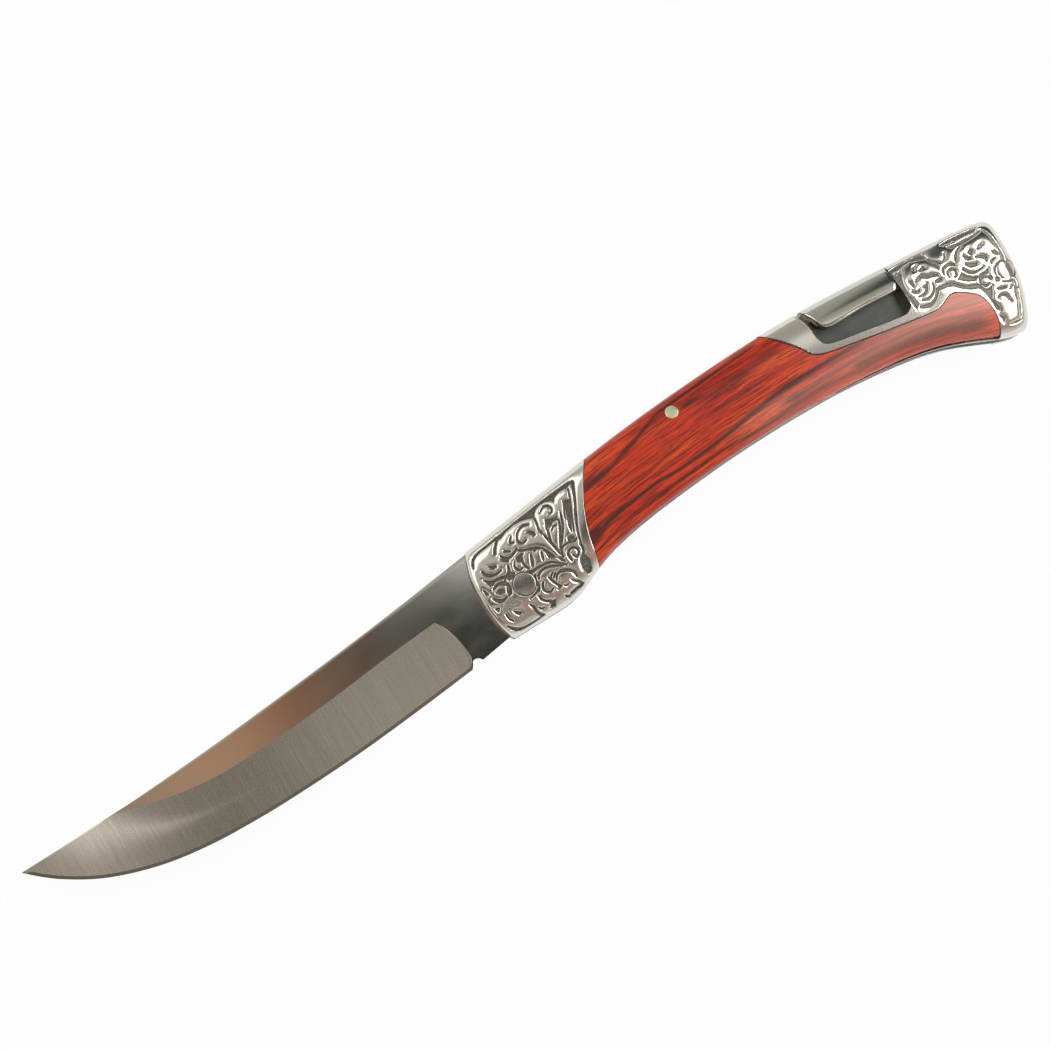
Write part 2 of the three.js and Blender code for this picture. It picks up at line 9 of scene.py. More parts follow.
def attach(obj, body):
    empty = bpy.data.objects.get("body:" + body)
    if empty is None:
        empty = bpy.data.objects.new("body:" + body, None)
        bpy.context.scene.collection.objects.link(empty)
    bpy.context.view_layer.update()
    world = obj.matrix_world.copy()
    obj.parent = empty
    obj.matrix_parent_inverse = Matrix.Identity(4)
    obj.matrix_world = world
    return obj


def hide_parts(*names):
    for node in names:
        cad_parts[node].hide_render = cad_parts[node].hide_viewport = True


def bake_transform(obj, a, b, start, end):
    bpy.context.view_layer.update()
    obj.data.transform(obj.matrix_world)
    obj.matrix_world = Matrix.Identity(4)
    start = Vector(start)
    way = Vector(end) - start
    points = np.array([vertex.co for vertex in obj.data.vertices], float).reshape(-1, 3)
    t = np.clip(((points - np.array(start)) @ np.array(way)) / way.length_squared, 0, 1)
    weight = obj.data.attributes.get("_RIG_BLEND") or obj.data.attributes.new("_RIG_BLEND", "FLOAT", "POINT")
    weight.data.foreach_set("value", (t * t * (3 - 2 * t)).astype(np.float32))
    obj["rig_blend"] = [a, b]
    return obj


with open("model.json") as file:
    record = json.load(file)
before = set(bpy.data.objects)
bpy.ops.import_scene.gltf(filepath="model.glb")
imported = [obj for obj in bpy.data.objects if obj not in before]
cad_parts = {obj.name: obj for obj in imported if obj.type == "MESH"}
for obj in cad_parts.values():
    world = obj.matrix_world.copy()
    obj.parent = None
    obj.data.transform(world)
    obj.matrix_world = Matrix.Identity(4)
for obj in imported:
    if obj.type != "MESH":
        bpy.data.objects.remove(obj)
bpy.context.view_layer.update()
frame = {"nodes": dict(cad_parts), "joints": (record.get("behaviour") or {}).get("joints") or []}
scene = bpy.context.scene
print("frame loaded:", len(frame["nodes"]), "CAD pieces")

# The plan: millimetres from the blade's pivot, x to the butt, y to the back, z from mid-blade
pivotPlace = Vector(next(j for j in frame["joints"] if j["name"] == "blade_fold")["pos_m"])


def place(x, y, z):
    return pivotPlace + Vector((x, y, z)) / 1000


# The handle's outlines, as the CAD has them
handle = {
    "back": [(-12, 10.85), (-7, 11.5), (10, 13.65), (30, 16.15), (45, 17.45), (60, 18.25),
             (70, 18.4), (82, 18.1), (95, 17.3), (110, 16.2), (118, 15.1), (121, 14.6)],
    "belly": [(-12, -8.1), (-6.7, -8.05), (0, -8.0), (5.4, -7.9), (8.4, -7.4), (11.4, -6.4),
              (15, -4.75), (20, -3.1), (27, -1.75), (36, -0.7), (48, 0.25), (60, 0.65),
              (70, 0.6), (80, 0.15), (90, -1.0), (97, -2.6), (103, -4.9), (107.5, -6.9),
              (110.5, -8.0), (113.5, -8.4), (121, -8.4)],
    "lip": [(-6.0, -9.6), (-6.7, -8.3), (-7.6, -7.0), (-8.6, -3.5), (-8.9, 1.0), (-8.4, 6.5),
            (-6.8, 11.4), (-5.8, 14.5)],
    "butt": [(112.4, -9.2), (114.4, -7.7), (115.6, -5.7), (117.1, -1.8), (118.2, 2.5),
             (118.8, 8.5), (118.9, 13.0), (118.2, 14.7), (116.4, 16.4)],
    "frontEnd": [(14.2, -7.0), (15.3, -2.2), (16.2, 2.0), (18.2, 7.1), (21.6, 12.8), (25.6, 18.2)],
    "rearEnd": [(64.4, 20.2), (67.9, 16.5), (71.4, 12.2), (74.2, 8.8), (81.6, 7.1), (90.4, 5.5),
                (98.2, 4.3), (100.6, 4.4), (103.2, 5.4), (105.4, 4.8), (108.3, 2.3),
                (109.3, -0.6), (109.2, -4.4), (107.2, -9.4)],
    "windowFront": [(73.4, 20.2), (75.0, 17.0), (75.6, 14.2), (75.8, 11.4)],
    "windowFloor": [(77.4, 9.4), (84.5, 8.0), (92.65, 6.6), (94.65, 6.8)],
    "windowEnd": 95.65,
    "windowCorner": 0.8,
    "linerOut": 2.4,
    "height": 4.6,             # of the crown over the liner
    "crownPower": 2.5,
    "crownWall": 0.22,
    "lipRound": (1.2, 0.82),   # width, and share of the height at the very edge
    "buttRound": (3.5, 0.5),
    "buttLean": 0.97,          # the butt's edge isn't square to x, so distances to it are shorter
    "recessFloor": 3.4,
    "seamSteps": 120,          # points between each two of the rear seam's own
}


def splineThrough(points, steps=12):
    p = np.array(points, float)
    slope = (np.vstack([p[1:], p[-1:]]) - np.vstack([p[:1], p[:-1]])) / 2
    t = np.linspace(0, 1, steps, endpoint=False)[None, :, None]
    a, b, u, v = p[:-1, None], p[1:, None], slope[:-1, None], slope[1:, None]
    curve = a + u * t + (3 * (b - a) - 2 * u - v) * t**2 + (2 * (a - b) + u + v) * t**3
    return np.vstack([curve.reshape(-1, p.shape[1]), p[-1:]])


def alongLine(line, shares):
    lengths = np.concatenate([[0], np.cumsum(np.hypot(*np.diff(line[:, :2], axis=0).T))])
    wanted = np.asarray(shares) * lengths[-1]
    return np.stack([np.interp(wanted, lengths, column) for column in line.T], axis=-1)


def stretchOf(line, fromX, toX):
    xs = np.concatenate([[fromX], line[(line[:, 0] > fromX) & (line[:, 0] < toX), 0], [toX]])
    return np.stack([xs, np.interp(xs, line[:, 0], line[:, 1])], axis=-1)


def smoothStep(value, low, high):
    t = np.clip((value - low) / (high - low), 0, 1)
    return t * t * (3 - 2 * t)


bellyLine, backLine = splineThrough(handle["belly"]), splineThrough(handle["back"])
lipLine, buttLine = splineThrough(handle["lip"], 40), splineThrough(handle["butt"], 40)
bellyAt = lambda x: np.interp(x, bellyLine[:, 0], bellyLine[:, 1])
backAt = lambda x: np.interp(x, backLine[:, 0], backLine[:, 1])
lipAt = lambda y: np.interp(y, lipLine[:, 1], lipLine[:, 0])


def acrossHandle(points, steps=80, inset=0.0):
    # the stretch of a curve from belly to back, in the order of its points
    line = splineThrough(points, steps)
    low, high = bellyAt(line[:, 0]) + inset, backAt(line[:, 0]) - inset
    inside = np.flatnonzero((line[:, 1] > low) & (line[:, 1] < high))
    kept = [line[i] for i in inside]
    for outer, inner in ((inside[0] - 1, inside[0]), (inside[-1] + 1, inside[-1])):
        if 0 <= outer < len(line):
            border = low if line[outer, 1] < low[outer] else high
            over, under = line[outer, 1] - border[outer], line[inner, 1] - border[inner]
            crossing = line[outer] + (line[inner] - line[outer]) * over / (over - under)
            kept.insert(0 if outer < inner else len(kept), crossing)
    return np.array(kept)


def rounding(distance, width, wall):
    share = np.clip(distance / width, 0, 1)
    return wall + (1 - wall) * np.sqrt(1 - (1 - share) ** 2)


def fromButt(x, y):
    return handle["buttLean"] * (np.interp(y, buttLine[:, 1], buttLine[:, 0]) - x)


def crownHeight(x, y, inset=0.0):
    low, high = bellyAt(x) + inset, backAt(x) - inset
    across = np.clip(np.abs(2 * (y - low) / (high - low) - 1), 0, 1)
    full = (1 - across ** handle["crownPower"]) ** (1 / handle["crownPower"])
    wall = handle["crownWall"]
    section = wall + (1 - wall) * full      # rounder than the CAD's, which is flat on top
    buttShare = rounding(fromButt(x, y), *handle["buttRound"])
    lipShare = rounding(x - lipAt(y), *handle["lipRound"])
    return handle["linerOut"] + handle["height"] * section * buttShare * lipShare


# Mesh helpers
mergeWithin = 1e-7      # m


def edgeShares(count, span, lowFine=(), highFine=()):
    # shares from 0 to 1, with extra rows at the given distances in mm from either end
    inner = np.linspace(max((*lowFine, 0)) / span, 1 - max((*highFine, 0)) / span, count)
    low = [d / span for d in lowFine if d < max(lowFine)]
    high = [1 - d / span for d in highFine if d < max(highFine)]
    return np.concatenate([sorted(low), inner, sorted(high)])


def coonsPatch(lower, upper, left, right, u, v):
    # lower and upper have a point for each u, left and right for each v
    uu, vv = u[:, None, None], v[None, :, None]
    ruled = (1 - vv) * lower[:, None] + vv * upper[:, None]
    sides = (1 - uu) * left[None] + uu * right[None]
    corners = ((1 - uu) * (1 - vv) * lower[0] + uu * (1 - vv) * lower[-1]
               + (1 - uu) * vv * upper[0] + uu * vv * upper[-1])
    return ruled + sides - corners


def gridMesh(points, layers=None, closed=False):
    # a grid whose points are moved to the given places, in plan millimetres
    columns, rows = points.shape[:2]
    bm = bmesh.new()
    bmesh.ops.create_grid(bm, x_segments=columns - 1, y_segments=rows - 1, size=1)
    made = {name: bm.verts.layers.float.new(name) for name in (layers or {})}
    for vert in bm.verts:
        i = round((vert.co.x + 1) / 2 * (columns - 1))
        j = round((vert.co.y + 1) / 2 * (rows - 1))
        for name, layer in made.items():
            vert[layer] = float(layers[name][i, j])
        vert.co = place(*points[i, j])
    if closed:
        bmesh.ops.remove_doubles(bm, verts=bm.verts, dist=mergeWithin)
    return bm


def openEdges(bm):
    return [edge for edge in bm.edges if edge.is_boundary]


def shellMesh(x, y, z, layers, closed=False):
    # a face of the handle, with walls from its border down to the liner and a bottom between them
    bm = gridMesh(np.dstack([x, y, z]), layers, closed)
    border = openEdges(bm)
    for edge in border:
        edge.smooth = False
    walls = bmesh.ops.extrude_edge_only(bm, edges=border)["geom"]
    for part in walls:
        if isinstance(part, bmesh.types.BMVert):
            part.co.z = place(0, 0, handle["linerOut"]).z
    rim = openEdges(bm)
    for edge in rim:
        edge.smooth = False
    bmesh.ops.edgeloop_fill(bm, edges=rim)
    return bm


def smoothBelow(bm, degrees):
    # only edges that turn by less than this are shaded smooth
    for edge in bm.edges:
        edge.smooth = len(edge.link_faces) == 2 and edge.calc_face_angle(0) < math.radians(degrees)


def cadCopy(node):
    # a CAD piece's mesh is loose triangles, so its copy is merged first
    bm = bmesh.new()
    bm.from_mesh(frame["nodes"][node].data)
    bmesh.ops.remove_doubles(bm, verts=bm.verts, dist=1e-6)
    return bm


def cutAcross(bm, x, towards, keepAll=True):
    # a cut square to the handle's length, which can throw away what lies beyond it
    return bmesh.ops.bisect_plane(bm, geom=[*bm.verts, *bm.edges, *bm.faces], plane_co=place(x, 0, 0),
                                  plane_no=(towards, 0, 0), clear_outer=not keepAll)["geom_cut"]


def otherSide(bm):
    # the same shape mirrored in the middle plane of the knife
    copy = bm.copy()
    bmesh.ops.scale(copy, vec=(1, 1, -1), space=Matrix.Translation(-pivotPlace), verts=copy.verts)
    bmesh.ops.reverse_faces(copy, faces=copy.faces)
    return copy


def appendMesh(bm, other, slot=None):
    # joins another mesh to this one, all in one material slot if one is given
    scratch = bpy.data.meshes.new("scratch")
    if slot is not None:
        for face in other.faces:
            face.material_index = slot
    bmesh.ops.recalc_face_normals(other, faces=other.faces)
    other.to_mesh(scratch)
    other.free()
    bm.from_mesh(scratch)
    bpy.data.meshes.remove(scratch)


def meshObject(name, bm, materials):
    mesh = bpy.data.meshes.new(name)
    bm.to_mesh(mesh)
    bm.free()
    for material in materials:
        mesh.materials.append(material)
    made = bpy.data.objects.new(name, mesh)
    scene.collection.objects.link(made)
    return made


def addPiece(name, bm, materials, body, replaced):
    bmesh.ops.remove_doubles(bm, verts=bm.verts, dist=mergeWithin)
    bmesh.ops.recalc_face_normals(bm, faces=bm.faces)
    for face in bm.faces:
        face.smooth = True
    piece = meshObject(name, bm, materials)
    if body:
        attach(piece, body)
    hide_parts(replaced)
    return piece


def addPair(name, bm, materials, node):
    # the same piece on both sides of the handle
    for side, mesh in (("Left", bm), ("Right", otherSide(bm))):
        addPiece(name + side, mesh, materials, "handle", f"{node}_{side.lower()}")


# Materials
def fromHex(code):
    parts = [int(code[i:i + 2], 16) / 255 for i in (1, 3, 5)]
    return (*[p / 12.92 if p <= 0.04045 else ((p + 0.055) / 1.055) ** 2.4 for p in parts], 1)


def addNode(tree, kind, values=None, links=None, **settings):
    node = tree.nodes.new("ShaderNode" + kind)
    for key, value in settings.items():
        setattr(node, key, value)
    for key, value in (values or {}).items():
        node.inputs[key].default_value = value
    for key, source in (links or {}).items():
        tree.links.new(source, node.inputs[key])
    return node


def firstNode(tree, kind):
    return next(node for node in tree.nodes if node.type == kind)


def newMaterial(name):
    material = bpy.data.materials.new(name)
    material.use_nodes = True
    return material, material.node_tree, firstNode(material.node_tree, "BSDF_PRINCIPLED")


def paint(tree, colour, socket):
    # a hex code is set on the socket itself, and another node's colour is linked to it
    if isinstance(colour, str):
        socket.default_value = fromHex(colour)
    else:
        tree.links.new(colour, socket)


def texture(tree, perMm, values, kind="TexNoise", turn=0.0, along=None):
    # a pattern laid on the piece, or along one of its attributes, with so many grains to a
    # millimetre along x, y and z
    along = along or addNode(tree, "TexCoord").outputs["Object"]
    laid = addNode(tree, "Mapping", {"Scale": [1000 * n for n in perMm], "Rotation": (0, 0, turn)},
                   {"Vector": along})
    return addNode(tree, kind, {"Scale": 1.0, **values}, {"Vector": laid.outputs[0]}).outputs[0]


def layer(tree, under, over, share, start=0.0, full=1.0, most=1.0, blend="MIX"):
    # one colour over another: none of it where the share is at its start, the most where it is full
    strength = addNode(tree, "MapRange", {"From Min": start, "From Max": full, "To Max": most},
                       {"Value": share})
    mix = addNode(tree, "Mix", links={0: strength.outputs[0]}, data_type="RGBA", blend_type=blend)
    paint(tree, under, mix.inputs[6])
    paint(tree, over, mix.inputs[7])
    return mix.outputs[2]


def coloursAlong(tree, value, stops, low=0.0, high=1.0):
    # colours that run into each other, each at its own place between low and high
    share = addNode(tree, "MapRange", {"From Min": low, "From Max": high}, {"Value": value})
    ramp = addNode(tree, "ValToRGB", links={"Fac": share.outputs[0]})
    for where, code in stops[2:]:
        ramp.color_ramp.elements.new((where - low) / (high - low))
    for element, (where, code) in zip(ramp.color_ramp.elements, stops):
        element.position = (where - low) / (high - low)
        element.color = fromHex(code)
    return ramp.outputs[0]


def surface(tree, shader, colour, worn, roughness, marks, depth, strength=1.0, under=None, metallic=1.0):
    # worn runs from low to high and spreads the roughness, and marks stand out by depth in mm
    low, high, smooth, rough = roughness
    spread = addNode(tree, "MapRange", {"From Min": low, "From Max": high, "To Min": smooth,
                                        "To Max": rough}, {"Value": worn})
    raised = addNode(tree, "Bump", {"Distance": depth / 1000, "Strength": strength},
                     {"Height": marks, **({"Normal": under} if under else {})})
    paint(tree, colour, shader.inputs["Base Color"])
    tree.links.new(spread.outputs[0], shader.inputs["Roughness"])
    tree.links.new(raised.outputs[0], shader.inputs["Normal"])
    shader.inputs["Metallic"].default_value = metallic


def polishedSteel(name, colour, roughness, scratch, turn=0.0):
    # stainless steel buffed on a wheel: a mirror, with faint hairlines that catch the light
    material, tree, shader = newMaterial(name)
    hairs = texture(tree, (0.25, 5.0, 0.8), {"Detail": 4.0, "Roughness": 0.7}, turn=turn)
    smears = texture(tree, (0.12, 0.2, 0.2), {"Detail": 5.0})
    surface(tree, shader, colour, smears, (0.35, 0.7, roughness * 0.8, roughness * 1.3), hairs, scratch)
    return material


def satinSteel(name, colours, roughness, depth, fine=(8.0, 0.05, 0.3), broad=(2.2, 0.10, 0.3), tipShade=None):
    # stainless steel ground on a belt: fine lines, across the blade, that spread a highlight
    material, tree, shader = newMaterial(name)
    lines = texture(tree, fine, {"Detail": 3.0, "Roughness": 0.65})
    bands = texture(tree, broad, {"Detail": 2.0})
    colour = layer(tree, *colours, lines, 0.35, 0.65)
    if tipShade:
        # painted shade on both sides of one paler sweep towards the tip, which stands in for a highlight
        # band
        shade = addNode(tree, "Attribute", attribute_name="tipShade").outputs["Fac"]
        colour = layer(tree, colour, tipShade, shade, blend="MULTIPLY")
    surface(tree, shader, colour, bands, (0.3, 0.7, roughness * 0.93, roughness * 1.07), lines, depth)
    return material


def engravedSteel():
    # bolster steel: buffed high spots over chased scrollwork, with the cuts left dark by oxide and a
    # pebbly punched ground, so that the scrolls stand out bright on a matte grey-black
    material, tree, shader = newMaterial("chasedBolsterSteel")
    oxideAndPaintedShade = addNode(tree, "Attribute", attribute_name="oxideAndPaintedShade").outputs["Fac"]
    grime = texture(tree, (1.6, 1.6, 1.6), {"Detail": 4.0})
    pebbles = texture(tree, (3.2, 3.2, 3.2), {}, "TexVoronoi")
    hairs = texture(tree, (0.5, 2.2, 1.0), {"Detail": 3.0})
    oxide = layer(tree, "#45453f", "#66665e", grime, 0.35, 0.7)
    # this darkening is oxide in the cuts and seams, and painted shade on the lower leaves and along the
    # window's edge
    colour = layer(tree, "#dddad2", oxide, oxideAndPaintedShade)
    ground = addNode(tree, "Math", links={0: pebbles, 1: oxideAndPaintedShade}, operation="MULTIPLY")
    fine = addNode(tree, "Bump", {"Distance": 0.0012 / 1000, "Strength": 1.0}, {"Height": hairs})
    surface(tree, shader, colour, oxideAndPaintedShade, (0, 1, 0.17, 0.6), ground.outputs[0], 0.12, 0.8, fine.outputs[0])
    return material


def dyedWood():
    # laminated birch dyed red and filled with resin: a thin glossy coat over orange-red wood with
    # dark brown growth streaks that follow the handle and short pores along the grain
    material, tree, shader = newMaterial("redPakkawood")
    grain, dye, pale = (addNode(tree, "Attribute", attribute_name=name).outputs[kind]
                        for name, kind in (("grain", "Vector"), ("dye", "Fac"), ("pale", "Fac")))
    broad = texture(tree, (0.03, 0.3, 0.3), {"Detail": 4.0, "Roughness": 0.55, "Distortion": 0.4},
                    along=grain)
    streaks = texture(tree, (0.05, 1.7, 1.2), {"Detail": 6.0, "Roughness": 0.7}, along=grain)
    fibres = texture(tree, (0.2, 3.1, 2.4), {"Detail": 4.0, "Roughness": 0.65}, along=grain)
    hairs = texture(tree, (0.06, 2.5, 2.0), {"Detail": 2.0}, along=grain)
    # the streaks' edges are ragged: some of the noise is added to the laid-in darkness
    ragged = addNode(tree, "Math", {1: 0.9}, {0: streaks, 2: dye}, operation="MULTIPLY_ADD")
    colour = coloursAlong(tree, broad, [(0.32, "#b82109"), (0.45, "#d5360b"), (0.57, "#e54910"),
                                        (0.70, "#f0641d")])
    for over, share, start, full, most, blend in (
            ("#8c1d12", streaks, 0.45, 0.70, 0.7, "MIX"),
            ("#2a0f0c", ragged.outputs[0], 0.62, 1.22, 0.88, "MIX"),
            ("#6a3d30", fibres, 0.47, 0.62, 0.78, "MULTIPLY"),
            ("#4f180f", hairs, 0.57, 0.65, 0.6, "MIX"),         # a few long, crisper hairlines
            ("#e9b0a2", pale, 0.0, 1.0, 1.0, "MIX")):           # a painted sheen near the butt and low on the handle
        colour = layer(tree, colour, over, share, start, full, most, blend)
    surface(tree, shader, colour, fibres, (0.3, 0.7, 0.36, 0.46), fibres, 0.004, 0.5, metallic=0.0)
    for socket, value in (("Specular IOR Level", 0.35), ("Coat Weight", 0.3), ("Coat Roughness", 0.15),
                          ("Coat IOR", 1.45)):
        shader.inputs[socket].default_value = value
    return material


def plainMetal(name, colours, roughness, perMm, depth):
    # stamped or turned stock with its own mill finish, mottled and lightly scratched
    material, tree, shader = newMaterial(name)
    mottle = texture(tree, (0.4, 0.4, 0.4), {"Detail": 5.0})
    grain = texture(tree, perMm, {"Detail": 4.0, "Roughness": 0.7})
    colour = layer(tree, *colours, mottle, 0.35, 0.7)
    surface(tree, shader, colour, grain, (0.3, 0.7, roughness * 0.8, roughness * 1.25), grain, depth)
    return material


def blackenedSteel():
    # the floor of the button's window: stamped steel with a baked black finish, slightly glossy
    material, tree, shader = newMaterial("blackenedFloorSteel")
    blots = texture(tree, (0.35, 0.8, 0.8), {"Detail": 5.0})
    scuffs = texture(tree, (0.9, 3.0, 2.0), {"Detail": 4.0})
    colour = layer(tree, "#464845", "#50524e", blots, 0.35, 0.7)
    surface(tree, shader, colour, scuffs, (0.3, 0.7, 0.32, 0.5), scuffs, 0.003, metallic=0.6)
    return material


barLines = {"fine": (0.12, 4.5, 4.5), "broad": (0.05, 1.1, 1.1)}      # ground along the handle
bladeFlatSteel = polishedSteel("polishedBladeSteel", "#dedad4", 0.085, 0.0010, turn=0.5)
# the ground bevel's last colour is a painted shade towards the tip, beside a paler painted highlight sweep
bladeBevelSteel = satinSteel("satinGroundSteel", ("#d6d3cb", "#c6c3ba"), 0.27, 0.0012, tipShade="#c2c0be")
bladeEdgeSteel = satinSteel("honedEdgeSteel", ("#a3a09b", "#94918c"), 0.24, 0.002)
bolsterSteel = engravedSteel()
blackFloor = blackenedSteel()
buttonSteel = polishedSteel("polishedButtonSteel", "#d3d1cc", 0.11, 0.0004)
redWood = dyedWood()
linerSteel = satinSteel("brushedLinerSteel", ("#c4c2be", "#a9a7a2"), 0.32, 0.004, **barLines)
barSteel = satinSteel("groundBarSteel", ("#b5b3af", "#94928e"), 0.3, 0.004, **barLines)
springSteel = plainMetal("blueGreySpringSteel", ("#8b8c8e", "#6f7072"), 0.36, (0.3, 3.0, 3.0), 0.004)
nickelSilver = plainMetal("nickelSilverPin", ("#dcd8bd", "#c9c4a4"), 0.42, (2.5, 2.5, 2.5), 0.004)
steelPin = plainMetal("turnedPinSteel", ("#cfcdc8", "#b4b2ad"), 0.2, (2.5, 2.5, 2.5), 0.002)
washerBronze = plainMetal("phosphorBronze", ("#b98a52", "#9b6e3c"), 0.34, (1.2, 1.2, 1.2), 0.003)
print("materials made")

# Scrollwork in plan millimetres: cuts are lines of (x, y, width), grounds are sunk areas
chasing = {
    "depth": 0.36, "wall": 0.08, "pillow": 0.13, "pillowReach": 0.32,
    "darkEdge": (-0.06, 0.1),      # the oxide fades out across a cut's wall
    "hollow": (0.1, 0.6),          # depth, and painted shade, of the leaves that lie lower
    "hollowEdge": (-0.5, 0.1),
    "buttFade": (0.7, 2.2), "buttLeft": 0.1,      # the cuts run out where the butt is rounded off
}
# the drawings are laid on as seen a little from the side: shift in mm, widening, darkness
drawnAs = {"front": ((0.2, 0.2), 0.14, 0.92), "rear": ((0.62, 0.12), 0.06, 0.8)}

frontCuts = [
    [(-6.8, 8, .15), (-6.4, 9, .35), (-5.8, 9.65, .4), (-4.5, 10.15, .25), (-2, 10.5, .2),
     (.3, 10.85, .3)],
    [(-1.7, 8.3, .5), (-1.2, 9.1, .45), (-.6, 9.8, .4), (.2, 10.5, .4)],
    [(-5.7, 6.6, .2), (-5.4, 5.7, .45), (-4.6, 5, .45), (-3.4, 4.7, .35), (-2.3, 4.9, .15)],
    [(-4.6, 3.75, .4), (-3.2, 3.6, .5), (-2, 3.3, .5), (-1.1, 3.9, .45), (-.75, 4.9, .25)],
    [(-1.3, 6.8, .2), (-.7, 6.3, .4), (-.2, 5.75, .3)],
    [(-5.5, 2.4, .3), (-4.3, 2.75, .5), (-3.1, 2.3, .55), (-2.65, 1.2, .5), (-3.1, .1, .6)],
    [(-6.6, .9, .2), (-5.9, -.05, .55), (-5, -.45, .5), (-4.1, -.2, .3)],
    [(-7.4, 3.1, .15), (-7.25, 2.4, .35), (-7, 2, .1)],
    [(-6, -3.1, .12), (-5.85, -4.2, .28), (-5.4, -5, .12)],
    [(-6.95, -5.2, .2), (-6.4, -6, .5), (-5.5, -6.75, .6), (-4.4, -7.05, .3), (-2, -7.1, .15),
     (.2, -7, .15)],
    [(-.9, -3.9, .2), (-.55, -4.6, .4), (-.5, -5.6, .4), (-.1, -6.5, .45), (.5, -6.95, .3)],
    [(7.1, 9.85, .2), (6, 10.2, .3), (4.7, 9.85, .28), (3.75, 8.9, .25), (3.6, 7.9, .25),
     (4.2, 7.25, .25), (5.1, 7.5, .18)],
    [(8.75, 10.2, .2), (8.5, 9, .28), (8.25, 7.9, .28), (8.45, 6.9, .2)],
    [(2.8, 9.6, .12), (2.3, 9.1, .3), (2.1, 8.5, .4), (2.7, 8.3, .15)],
    [(.2, 7.9, .1), (.6, 7.5, .22), (1.2, 7.15, .12)],
    [(-.95, 7.3, .2), (-.5, 6.5, .45), (.4, 6.15, .4), (1.5, 6.45, .35), (2.4, 6.9, .4)],
    [(4.3, 4.5, .2), (3.95, 3.4, .5), (3.5, 2.4, .4)],
    [(6.4, 3.9, .2), (6.15, 3.1, .35), (5.9, 2.3, .25)],
    [(2.4, 4.7, .25), (2.1, 3.6, .3), (2.5, 2.3, .35)],
    [(2, 2, .3), (2.8, 1.45, .45), (4, 1.55, .4), (5.2, 1.5, .3), (6.5, 1.35, .3), (7.8, .5, .3),
     (9.4, -.9, .15)],
    [(3.2, -.5, .15), (3.5, .2, .35), (4.4, .65, .35), (5.6, .7, .3), (7.1, .25, .3), (8.6, -.6, .15)],
    [(3.6, -1.4, .2), (2.95, -2.4, .3), (3.1, -3.3, .3), (3.9, -3.8, .28), (4.7, -3.5, .15)],
    [(2.9, .6, .2), (2.5, -.6, .3), (2.35, -1.9, .25), (1.9, -2.6, .2)],
    [(5, -1.2, .15), (5.3, -2.2, .3), (5.7, -3.1, .35), (6.05, -3.9, .45), (5.5, -4.2, .15)],
    [(5.3, -1.5, .12), (5.9, -.95, .2), (6.2, -.8, .1)],
    [(5.7, -1.9, .12), (6.3, -1.3, .2), (6.6, -1.1, .1)],
    [(6.1, -2.5, .12), (6.6, -1.7, .3), (7.7, -1.35, .5), (8.9, -1.8, .5), (9.8, -2.6, .35),
     (10, -3.9, .2)],
    [(8.8, -3.9, .2), (9.3, -4.5, .35), (9.9, -5, .4), (10.1, -5.6, .5)],
    [(7.3, -6.15, .4), (8.5, -5.95, .5), (9.9, -5.75, .45), (10.4, -5.6, .2)],
    [(6.1, -5.9, .15), (6.3, -6.3, .4), (6.9, -6.4, .15)],
    [(1.5, -3.4, .2), (1.6, -4.2, .35), (2.2, -4.9, .35), (3.1, -5.4, .4)],
    [(.3, -5.2, .12), (.6, -5.7, .24), (1.2, -5.8, .12)],
    [(13.75, 2.6, .2), (13.2, 2.3, .3), (12, 2.65, .2), (10.6, 2.55, .25), (9.8, 1.7, .35),
     (9.6, .7, .25)],
    [(10.7, -.7, .2), (10.65, .6, .35), (11.2, 1.3, .35), (12.2, 1.4, .3), (12.85, .6, .3),
     (12.5, -.3, .28), (11.8, -.45, .28), (11.5, .15, .2)],
    [(13.8, 1.3, .2), (13.85, .3, .25), (13.4, -.7, .3), (12.6, -1.2, .3)],
    [(9.95, 8, .3), (9.55, 6.4, .35), (9.2, 5.2, .3), (9.05, 4.2, .15)],
    [(12.6, 7.5, .2), (12, 6, .35), (10.9, 4.1, .35), (9.9, 2.3, .25)],
    [(13.7, 8.6, .15), (12.9, 6.4, .3), (11.7, 4.6, .3), (10.6, 3.1, .2)],
    [(18.9, 12.6, .6), (17.7, 9.8, .35), (16.2, 6.8, .3), (15, 4.4, .3), (14.35, 2.6, .3),
     (14, 1.2, .2)],
    [(17.5, 11.9, .15), (16.6, 9.6, .2), (15, 6.2, .2), (14, 3.9, .15)],
    [(10.4, 10.8, .12), (11.3, 11.3, .25), (12.2, 11.1, .25), (12.6, 10.3, .25), (12.2, 9.6, .25),
     (11.5, 9.5, .12)],
    [(.9, 5, .12), (.4, 4.3, .2), (.35, 3.6, .3), (.9, 3, .35), (1.6, 3.1, .2)],
    [(10.3, 6.4, .1), (11, 6.9, .2), (11.8, 6.9, .1)],
    [(8.5, 6.6, .1), (8.75, 5.4, .3), (9, 4.2, .35), (9.25, 2.6, .3), (9.35, 1.6, .1)],
    [(-2.9, 2.6, .1), (-2.35, 3.05, .25), (-1.7, 3.1, .2)],
    [(-3.1, 1.3, .1), (-3.4, .4, .2), (-3.5, -.3, .25)],
    [(-.3, -2.95, .1), (.5, -2.75, .2), (1.4, -2.5, .25), (2, -2, .15)],
    [(1.3, -3.2, .1), (1.55, -3.9, .15), (1.6, -4.4, .1)],
    [(6.9, -4.1, .12), (7.4, -4.4, .16), (7.7, -4.2, .1)],
    [(13.9, 6.9, .1), (14.3, 8.1, .14), (15.3, 10, .1)],
    [(14.6, 3.2, .1), (15.1, 4.9, .14), (16.3, 7.6, .1)],
]

